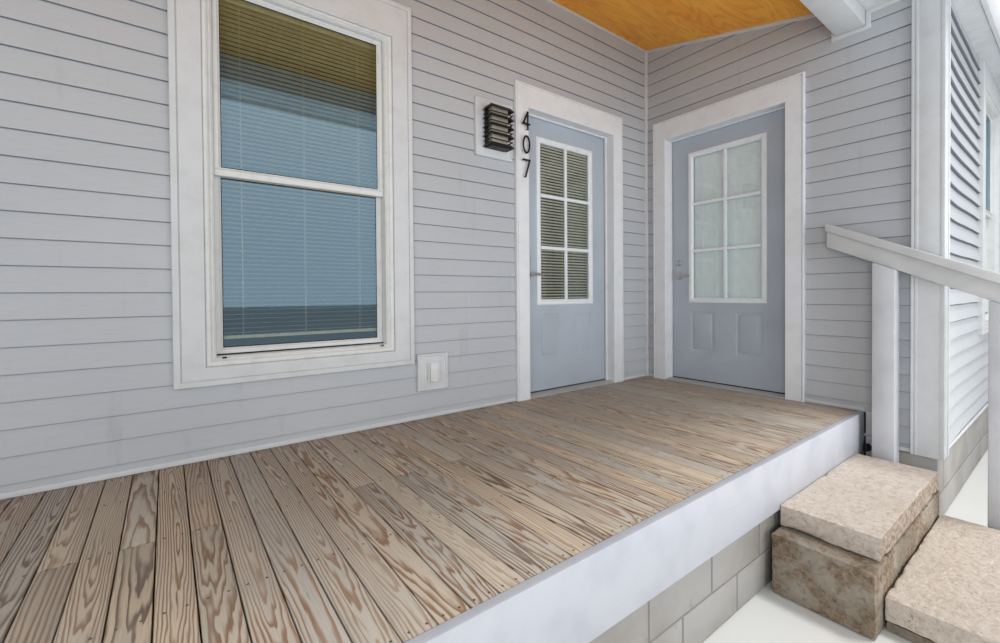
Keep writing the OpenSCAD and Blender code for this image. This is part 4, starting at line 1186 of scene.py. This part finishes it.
carriers = (lightBlock, outletBlock)
newPiece("sidingBlocks", trimLook, [(whole, blockRimBuilder(block)) for block in carriers],
         slot="white_trim", replaces=("siding_blocks",))
newPiece("blockFaces", trimLook, [(whole, blockFaceBuilder(block)) for block in carriers], bevel=0.002,
         slot="white_trim")
lamp = {"wide": 0.196, "high": 0.266, "deep": 0.096, "base": 0.026, "hoods": 4, "thick": 0.003,
        "glass": 0.066}


def addHood(bm, z, wide, deep, back, tall, flare):
    # a band on three sides that leans outwards and down
    rings, made, thick = [], [], lamp["thick"]
    for inset, h in ((0, z), (flare, z + tall), (flare + thick, z + tall - 0.002), (thick, z - 0.001)):
        half, front = wide / 2 - inset, -deep + inset
        corners = (-half, -back), (-half, front), (half, front), (half, -back)
        rings.append([bm.verts.new((x, y, h)) for x, y in corners])
    for i in range(4):
        a, b = rings[i], rings[(i + 1) % 4]
        made += [bm.faces.new((a[k], a[k + 1], b[k + 1], b[k])) for k in range(3)]
    made += [bm.faces.new([ring[k] for ring in rings]) for k in (0, 3)]
    bmesh.ops.recalc_face_normals(bm, faces=made)


def addLampMetal(bm):
    wide, high, deep, base = (lamp[key] for key in ("wide", "high", "deep", "base"))
    half, front = wide / 2, base + deep
    addBox(bm, (-half + 0.018, -base - 0.012, 0.0), (half - 0.018, -base, high))
    for side in (-1, 1):
        x = side * (half - 0.022)
        addBox(bm, (x - 0.004, -base - 0.034, 0.0), (x + 0.004, -base, high))
    addBox(bm, (-half + 0.02, -front + 0.022, 0.0), (half - 0.02, -base, 0.020))
    addBox(bm, (-half + 0.017, -front + 0.017, high - 0.006), (half - 0.017, -base, high - 0.001))
    addHood(bm, 0.001, wide, front, base, 0.022, 0.016)
    step = (high - 0.034) / lamp["hoods"]
    for i in range(lamp["hoods"]):
        z = 0.034 + step * (i + 1) - 0.026
        addHood(bm, z, wide, front, base, 0.024, 0.018)
        addHood(bm, z - step * 0.48, wide - 0.014, front - 0.008, base, 0.008, 0.004)


def addLampGlass(bm):
    half, base = lamp["glass"], -lamp["base"]
    addBox(bm, (-half, base - half, 0.018), (half, base - 0.004, lamp["high"] - 0.008))


lampPlace = placed(lightBlock["x"], 0, lightBlock["z"] - lamp["high"] / 2)
newPiece("wallLightMetal", blackLook, [(lampPlace, addLampMetal)], bevel=0.0008, slot="black_metal",
         replaces=("wall_light",))
newPiece("wallLightGlass", frostLook, [(lampPlace, addLampGlass)], bevel=0.004, slot="glass")


# a weather cover; each part has its left, low, right and top, and how near and far it stands from the wall
outletCover = {"box": (-0.040, -0.062, 0.040, 0.062, 0.024, 0.034),
               "lid": (-0.028, -0.056, 0.034, 0.056, 0.033, 0.050),
               "spine": (-0.037, -0.054, -0.031, 0.054, 0.033, 0.046),
               "catch": (-0.010, -0.058, 0.014, -0.050, 0.049, 0.053)}


def addOutletCover(bm):
    x, z = outletBlock["x"], outletBlock["z"]
    for x0, z0, x1, z1, near, far in outletCover.values():
        addBox(bm, (x + x0, -far, z + z0), (x + x1, -near, z + z1))


newPiece("outletCover", vinylLook, [(whole, addOutletCover)], bevel=0.003, slot="white_trim")
figures = {"x": -1.448, "top": 2.015, "high": 0.127, "step": 0.1655, "wide": 0.068, "line": 0.012,
           "near": 0.048, "far": 0.054, "pin": 0.002, "pinFrom": 0.029, "shown": "407"}
strokes = {"4": [(0.72, 0.0), (0.72, 1.0), (0.0, 0.30), (1.0, 0.30)],
           "0": [(0.5 + 0.5 * math.cos(math.pi * k / 20), 0.5 + 0.5 * math.sin(math.pi * k / 20))
                 for k in range(41)],
           "7": [(0.0, 1.0), (1.0, 1.0), (0.34, 0.0)]}


def addFigure(bm, figure, z0):
    # flat strokes between the points of a figure, whose x and y go from 0 to 1, on a pin at each end
    line, near, far = figures["line"], -figures["near"], -figures["far"]
    spots = [Vector((figures["x"] + (x - 0.5) * (figures["wide"] - line),
                     z0 + line / 2 + y * (figures["high"] - line))) for x, y in strokes[figure]]
    reach = 0.3 if len(spots) > 6 else 1.0
    for a, b in zip(spots, spots[1:]):
        along = (b - a).normalized() * line / 2
        side = Vector((-along.y, along.x))
        a, b = a - along * reach, b + along * reach
        addPrism(bm, [tuple(a + side), tuple(b + side), tuple(b - side), tuple(a - side)], far, near, "y")
    for spot in (spots[0], spots[-1]):
        addLathe(bm, [(figures["pin"], -figures["pinFrom"]), (figures["pin"], near - 0.001)],
                 (spot.x, spot.y), 10)


def addFigures(bm):
    for i, figure in enumerate(figures["shown"]):
        addFigure(bm, figure, figures["top"] - figures["high"] - i * figures["step"])


newPiece("houseFigures", blackLook, [(whole, addFigures)], smooth=0, slot="black_metal")
print("fittings done")

# Deck: boards from the wall to the fascia, a few in two lengths, screwed at every joist
deck = {"pitch": 0.0863, "gapAt": -3.501, "gap": 0.0038, "thick": 0.025, "jointAt": -0.705,
        "joints": (-3.717, -3.544), "jointShare": 0.07, "joists": (-1.520, -1.114, -0.708, -0.302, -0.03),
        "left": -house["porchLong"] + 0.032, "right": -0.003, "screwIn": 0.022, "screwWide": 0.07,
        "most": 60, "least": 0.012}


def deckSpots():
    pitch, left, right = deck["pitch"], deck["left"], deck["right"]
    first = deck["gapAt"] - math.ceil((deck["gapAt"] - left) / pitch) * pitch
    spots = []
    for k in range(deck["most"]):
        a, b = max(first + k * pitch, left), min(first + (k + 1) * pitch, right)
        if b - a < deck["least"]:
            continue
        middle = (a + b) / 2
        jointed = rng.random() < deck["jointShare"] or any(abs(middle - j) < 0.02 for j in deck["joints"])
        ends = [-house["rimOut"] - 0.001, 0.002]
        ends[1:1] = [deck["jointAt"]] if jointed else []
        spots += [(middle, (low + high) / 2, b - a, high - low) for low, high in zip(ends, ends[1:])]
    return spots


boards = deckSpots()
layOn("deckBoards", deckLook, boards, whole, bevel=0.0028, gap=deck["gap"], thick=deck["thick"],
      uneven=0.0006, rise=-0.0006, slot="deck_timber", replaces=("deck_floor",))


def makeScrewTree():
    tree = GeoTree("deckScrews", radius=0.0034, high=0.003)
    radius, high = tree.ask("radius", "high")
    head = tree.node("GeometryNodeMeshCylinder", {"fill_type": "TRIANGLE_FAN"},
                     {"Vertices": 8, "Radius": radius, "Depth": high})
    return tree.close(tree.scatter(head))


makeScrewTree().grow("deckScrews", screwLook, [
    (x + side * deck["screwIn"], y, -0.0015) for x, middle, wide, long in boards
    if wide > deck["screwWide"] for y in deck["joists"] if abs(y - middle) < long / 2
    for side in (-1, 1)], slot="hinge_steel")
dress(framingLook, "deck_joists", "floor_framing")
roomBoard = {"wide": 0.09, "long": 1.2, "shift": 0.37, "gap": 0.0008}
roomLow, roomHigh = (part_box("room_floor")[i] - corner for i in (0, 1))
roomSpots = layRows((roomLow.x, roomLow.y, roomHigh.x, roomHigh.y), roomBoard["wide"], roomBoard["long"],
                    roomBoard["shift"])
layOn("roomBoards", framingLook, roomSpots, placed(0, 0, roomHigh.z), bevel=0.001, segments=1,
      gap=roomBoard["gap"], thick=roomHigh.z - roomLow.z, slot="framing_timber", replaces=("room_floor",))
softCopy("deck_fascia", shadedFasciaPaint, bevel=0.003, slot="white_trim")
print("deck done")

# Foundations: painted blocks in running bond, a few millimetres proud of the mortar
blockSize = {"long": 0.406, "high": 0.203, "gap": 0.010, "thick": 0.016, "proud": 0.004, "joint": -0.42}


def layBlocks(name, place, x0, x1, shift):
    spots, levels = [], [house["footing"] - 0.001, blockSize["joint"], ground + 0.0005]
    for row, (top, low) in enumerate(zip(levels, levels[1:])):
        x = x0 - (shift + 0.5 * row) % 1.0 * blockSize["long"]
        while x < x1:
            a, b = max(x, x0), min(x + blockSize["long"], x1)
            if b - a > 0.03:
                spots.append(((a + b) / 2, (low + top) / 2, b - a, top - low))
            x += blockSize["long"]
    layOn(name, blockLook, spots, place @ onFace, bevel=0.003, gap=blockSize["gap"],
          thick=blockSize["thick"], rise=blockSize["proud"], uneven=0.0008, slot="painted_block")


dress(mortarLook, "deck_foundation", "house_foundation")
layBlocks("deckBlocks", placed(0, -house["rimOut"]), deck["left"], 0, 0.80)
layBlocks("deckEndBlocks", placed(deck["left"], 0, 0, -90), 0, house["rimOut"], 0.2)
layBlocks("sideBlocks", wallPlace["side"], house["rimOut"], house["sideLong"] + 0.004, 0.1)
layBlocks("frontBlocks", wallPlace["front"], -0.004, house["frontLong"] + 0.004, 0.6)
layBlocks("endBlocks", wallPlace["end"], -house["sideLong"] - 0.004, house["wallThick"], 0.3)
print("foundations done")


# Steps: cast stone with rounded and broken edges, pitted faces and a rough front
stones = {"upper": {"cell": 0.011, "radius": 0.0048, "rough": 0.0022, "seed": 1.0, "frontRough": 3.0},
          "lower": {"cell": 0.011, "radius": 0.006, "rough": 0.0030, "seed": 4.0, "frontRough": 2.2},
          "upperRiser": {"cell": 0.013, "radius": 0.007, "rough": 0.006, "seed": 2.0, "frontRough": 1.5},
          "lowerRiser": {"cell": 0.015, "radius": 0.008, "rough": 0.005, "seed": 6.0, "frontRough": 1.5}}


def addStone(bm, low, high, cell, radius, rough, seed, frontRough):
    # a box of small faces: its edges are rounded and bitten by noise, then its faces pushed in by a grain
    low, high = Vector(low), Vector(high)
    size = high - low
    counts = [max(2, round(size[i] / cell)) for i in range(3)]
    verts, made = {}, []

    def vertAt(spot):
        if spot not in verts:
            verts[spot] = bm.verts.new(tuple(low[i] + size[i] * spot[i] / counts[i] for i in range(3)))
        return verts[spot]

    for axis in range(3):
        a, b = (axis + 1) % 3, (axis + 2) % 3
        for end in (0, counts[axis]):
            for i in range(counts[a]):
                for j in range(counts[b]):
                    quad = []
                    for stepA, stepB in ((0, 0), (1, 0), (1, 1), (0, 1)):
                        spot = [end, end, end]
                        spot[a], spot[b] = i + stepA, j + stepB
                        quad.append(vertAt(tuple(spot)))
                    made.append(bm.faces.new(quad))
    for v in verts.values():
        p = v.co.copy()
        spot = p + Vector((seed, seed * 2.3, seed * 0.7))
        bite = noise.noise(spot * 7) * 0.5 + noise.noise(spot * 23) * 0.5
        r = radius * (1 + 0.55 * bite) + max(0.0, noise.noise(spot * 11) - 0.32) * 0.05
        r = min(r, min(size) * 0.45)
        away = p - Vector((min(max(p[i], low[i] + r), high[i] - r) for i in range(3)))
        facing = away.normalized()
        amount = rough * (frontRough if facing.y < -0.8 else 1.0)
        grain = noise.noise(spot * 60) * 0.6 + noise.noise(spot * 160) * 0.4
        push = amount * (grain - 0.45) + rough * 0.7 * (noise.noise(spot * 5) - 0.5)
        v.co = p - away + facing * (r + min(push, 0.0))
    bmesh.ops.recalc_face_normals(bm, faces=made)


def addTread(bm, name):
    addStone(bm, *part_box("step_" + name), **stones[name])


def addRisers(bm):
    upperLow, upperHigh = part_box("step_upper")
    lowerLow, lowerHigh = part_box("step_lower")
    riserLow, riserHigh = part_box("step_risers")
    addStone(bm, (riserLow.x, upperLow.y - 0.007, 0.0), (riserHigh.x, upperHigh.y, upperLow.z),
             **stones["upperRiser"])
    addStone(bm, (lowerLow.x + 0.007, lowerLow.y + 0.007, 0.0),
             (lowerHigh.x - 0.007, upperLow.y - 0.010, lowerLow.z), **stones["lowerRiser"])


newPiece("stepUpperStone", treadLook, [(unmoved, lambda bm: addTread(bm, "upper"))], smooth=60,
         slot="step_stone", replaces=("step_upper",))
newPiece("stepLowerStone", treadLook, [(unmoved, lambda bm: addTread(bm, "lower"))], smooth=60,
         slot="step_stone", replaces=("step_lower",))
newPiece("stepRiserStone", riserLook, [(unmoved, addRisers)], smooth=60, slot="step_stone",
         replaces=("step_risers",))
print("steps done")

# Trims, posts, rails and roof edges: soft-edged copies of the frame
for nodeName in ("wall_trim", "base_strips", "beam", "porch_post", "eave_boards"):
    softCopy(nodeName, trimLook, bevel=0.004 if nodeName == "base_strips" else 0.003, slot="white_trim")
softCopy("handrail", railPaint, bevel=0.004, slot="rail_paint")
softCopy("handrail_posts", postPaint, bevel=0.004, slot="rail_paint")
dress(plyLook, "ceiling")
dress(trimLook, "eave_soffit")


# Narrow trims where siding, ceiling and boards meet
def addCeilingTrims(bm):
    size, out, high = 0.022, 0.018, house["ceilingHigh"]
    addPrism(bm, [(0.001, high + 0.002), (-out, ceilingAt(out) + 0.002), (-out, high - size),
                  (0.001, high - size + 0.003)], -house["porchLong"] + cornerBoard, -insideTrim)
    near, far = insideTrim, house["beamIn"]
    addPrism(bm, [(-near, ceilingAt(near) + 0.002), (-far, ceilingAt(far) + 0.002),
                  (-far, ceilingAt(far) - size), (-near, ceilingAt(near) - size)], -out, 0.001)


def addBeamChannel(bm):
    # channel round the end of the beam and along the soffit, where they meet the siding
    wide, inner, outer, foot = 0.024, house["beamIn"], house["beamOut"], house["beamFoot"]
    top, soffit, end = ceilingAt(inner), house["soffitHigh"], house["sideLong"] - 0.02
    near, far = -inner + 0.001, -outer - 0.001
    addPrism(bm, [(-inner + wide, top), (-inner + wide, foot - wide), (-outer - wide, foot - wide),
                  (-outer - wide, soffit - wide), (-end, soffit - wide), (-end, soffit), (far, soffit),
                  (far, foot - 0.001), (near, foot - 0.001), (near, top)], -0.020, 0.001)


def addCornerLips(bm):
    # raised pockets along the inner edges of the corner boards
    side, trimOut, lip = house["sideLong"], house["trimOut"], 0.030
    out, edge, inner = trimOut + 0.0035, side + trimOut, side - cornerBoard
    z0, z1 = house["footing"] + 0.002, house["soffitHigh"] - 0.001
    for near, far in ((-0.001, 0.0125), (0.0155, lip)):
        addBox(bm, (-out, -inner - far, z0), (-out + 0.005, -inner - near, z1))
    addBox(bm, (-trimOut - 0.002, -edge - 0.002, z0), (-trimOut + 0.010, -edge + 0.016, z1))
    for x, away in ((cornerBoard, -1), (house["frontLong"] - cornerBoard, 1)):
        a, b = sorted((x, x + away * lip))
        addBox(bm, (a, -side - out, z0), (b, -side - out + 0.005, z1))


# The board between the end of the fascia and the handrail post; dark boxes and prisms painted as shade in
# the open joint beside it and where corners have broken off its foot on both sides
fasciaEnd = {"board": ((-0.012, -1.666, -0.315), (-0.004, -1.5795, 0.002)),
             "joint": ((-0.0118, -1.5793, -0.30), (-0.0065, -1.5712, -0.004)),
             "frontChipShade": [(-0.042, -0.238), (-0.034, -0.245), (-0.012, -0.245), (-0.012, -0.178),
                           (-0.019, -0.176), (-0.026, -0.194), (-0.037, -0.208)],
             "sideChipShade": [(-1.581, -0.174), (-1.592, -0.180), (-1.600, -0.198), (-1.613, -0.214),
                          (-1.607, -0.232), (-1.594, -0.243), (-1.581, -0.246)],
             "frontY": (-1.5718, -1.5700), "sideX": (-0.0128, -0.0110)}


def addFasciaEnd(bm):
    addBox(bm, *fasciaEnd["board"])


def addFasciaGapShade(bm):
    addBox(bm, *fasciaEnd["joint"])
    addPrism(bm, fasciaEnd["frontChipShade"], *fasciaEnd["frontY"], "y")
    addPrism(bm, fasciaEnd["sideChipShade"], *fasciaEnd["sideX"])


def starterBuilder(x0, x1):
    # starter strip under the lowest course of the outer walls
    foot = house["sidingFoot"]
    return lambda bm: addPrism(bm, [(0.001, foot + 0.003), (-0.016, foot + 0.001), (-0.018, foot - 0.02),
                                    (0.001, foot - 0.024)], x0, x1)


for name, build in (("ceilingTrims", addCeilingTrims), ("beamChannel", addBeamChannel),
                    ("cornerLips", addCornerLips)):
    newPiece(name, trimLook, [(whole, build)], bevel=0.0015, slot="white_trim")
# the end board takes the paler moulding finish as painted light against the shade between fascia and post
newPiece("fasciaEnd", vinylLook, [(whole, addFasciaEnd)], bevel=0.002, slot="white_trim")
newPiece("fasciaGapShade", darkAndShadeLook, [(whole, addFasciaGapShade)], bevel=0.0004)
newPiece("starterStrips", trimLook, [
    (wallPlace["side"], starterBuilder(house["fasciaOut"] + 0.01, house["sideLong"] - cornerBoard)),
    (wallPlace["front"], starterBuilder(cornerBoard, house["frontLong"] - cornerBoard))],
    bevel=0.001, slot="white_trim")

# Roof: shingle courses over the slope, felt and boards on its body, grooved boards in the soffit
roof = {"course": 0.142, "tab": 0.305, "gap": 0.004, "thick": 0.006, "rise": 0.004, "tip": 0.056}
soffit = {"board": 0.127, "lip": 0.022, "gap": 0.005, "thick": 0.006, "rise": 0.002}
dress(makeRoofBodyLook(), "roof")
roofLow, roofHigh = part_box("roof")
slope = math.atan(house["ceilingFall"])
roofPlace = (Matrix.Translation(Vector((roofLow.x, roofHigh.y, roofHigh.z)))
             @ Matrix.Rotation(slope, 4, "X") @ Matrix.Rotation(math.pi, 4, "Z"))
roofLong = (roofHigh.y - roofLow.y) / math.cos(slope)
roofSpots = layRows((roofLow.x - roofHigh.x, 0.0, 0.0, roofLong - 0.002), roof["course"], roof["tab"])
layOn("roofShingles", makeShingleLook(), roofSpots, roofPlace, slot="roof_cover", smooth=0,
      **{key: roof[key] for key in ("gap", "thick", "rise", "tip")})


def soffitSpots():
    spots = []
    for x0, x1, near in ((-house["porchLong"], 0.0, house["beamOut"]),
                         (0.0, house["frontLong"], house["sideLong"])):
        far, count = house["eaveOut"] - soffit["lip"], round((x1 - x0) / soffit["board"])
        wide = (x1 - x0) / count
        spots += [(x0 + wide * (i + 0.5), (near + far) / 2, wide, far - near) for i in range(count)]
    return spots


layOn("soffitBoards", trimLook, soffitSpots(),
      placed(0, 0, house["soffitHigh"]) @ Matrix.Rotation(math.pi, 4, "X"), bevel=0.0015, segments=1,
      slot="white_trim", **{key: soffit[key] for key in ("gap", "thick", "rise")})
print("roof done")

# Studio: pale floor and backdrop, four soft lamps and the plain light of a white room
studio = {"reach": 60, "room": 0.45, "roomTint": (0.98, 1.0, 1.0, 1)}
lamps = {"low": {"at": (-5.6, -3.6, 1.1), "aim": (-1.2, -0.6, 2.8), "size": 2.0, "power": 62,
                 "tint": (1.0, 0.985, 0.955)},
         "near": {"at": (-0.4, -3.6, 0.2), "aim": (-0.7, -0.4, 2.4), "size": 2.0, "power": 37,
                  "tint": (1.0, 0.975, 0.93)},
         "middle": {"at": (-2.5, -8.0, 2.2), "aim": (-1.5, 0.0, 1.2), "size": 4.0, "power": 134,
                    "tint": (0.93, 0.965, 1.0)},
         "high": {"at": (0.9, -3.75, 7.6), "aim": (-0.4, -1.75, 0.0), "size": 1.6, "power": 380,
                  "tint": (1.0, 1.0, 1.0)}}


def makeFloor():
    look = makeTonedLook("studioFloor", (214, 214, 211), (219, 219, 217), 0.9, 0.5)
    reach = studio["reach"]
    mesh = bpy.data.meshes.new("studioFloor")
    mesh.from_pydata([(-reach, -reach, 0), (reach, -reach, 0), (reach, reach, 0), (-reach, reach, 0)], [],
                     [(0, 1, 2, 3)])
    mesh.materials.append(look.material)
    floor = bpy.data.objects.new("studioFloor", mesh)
    scene.collection.objects.link(floor)


def makeRoom():
    # plain light on the object; the camera, reflections and clear panes see white
    world = bpy.data.worlds.new("studio")
    scene.world = world
    world.use_nodes = True
    maker = Maker()
    maker.tree = tree = world.node_tree
    room = tree.nodes["Background"]
    room.inputs["Color"].default_value = studio["roomTint"]
    room.inputs["Strength"].default_value = studio["room"]
    white = maker.node("ShaderNodeBackground", {}, {"Color": (1, 1, 1)})
    path = maker.node("ShaderNodeLightPath").socket.node
    seen = Wire(maker, path.outputs["Is Camera Ray"])
    for ray in ("Is Glossy Ray", "Is Transmission Ray"):
        seen = maker.maths("MAXIMUM", seen, Wire(maker, path.outputs[ray]))
    mixed = maker.node("ShaderNodeMixShader", {}, {0: seen, 1: Wire(maker, room.outputs[0]), 2: white})
    maker.plug(tree.nodes["World Output"].inputs[0], mixed)


def makeLamp(name, at, aim, size, power, tint):
    data = bpy.data.lights.new(name + "Lamp", "AREA")
    data.shape, data.size, data.energy, data.color = "SQUARE", size, power, tint
    thing = bpy.data.objects.new(name + "Lamp", data)
    scene.collection.objects.link(thing)
    thing.visible_camera = thing.visible_glossy = False
    thing.location = corner + Vector(at)
    thing.rotation_euler = (Vector(aim) - Vector(at)).to_track_quat("-Z", "Y").to_euler()


makeFloor()
makeRoom()
for name, lampSet in lamps.items():
    makeLamp(name, **lampSet)
scene.view_settings.view_transform = "Standard"
print("studio ready")
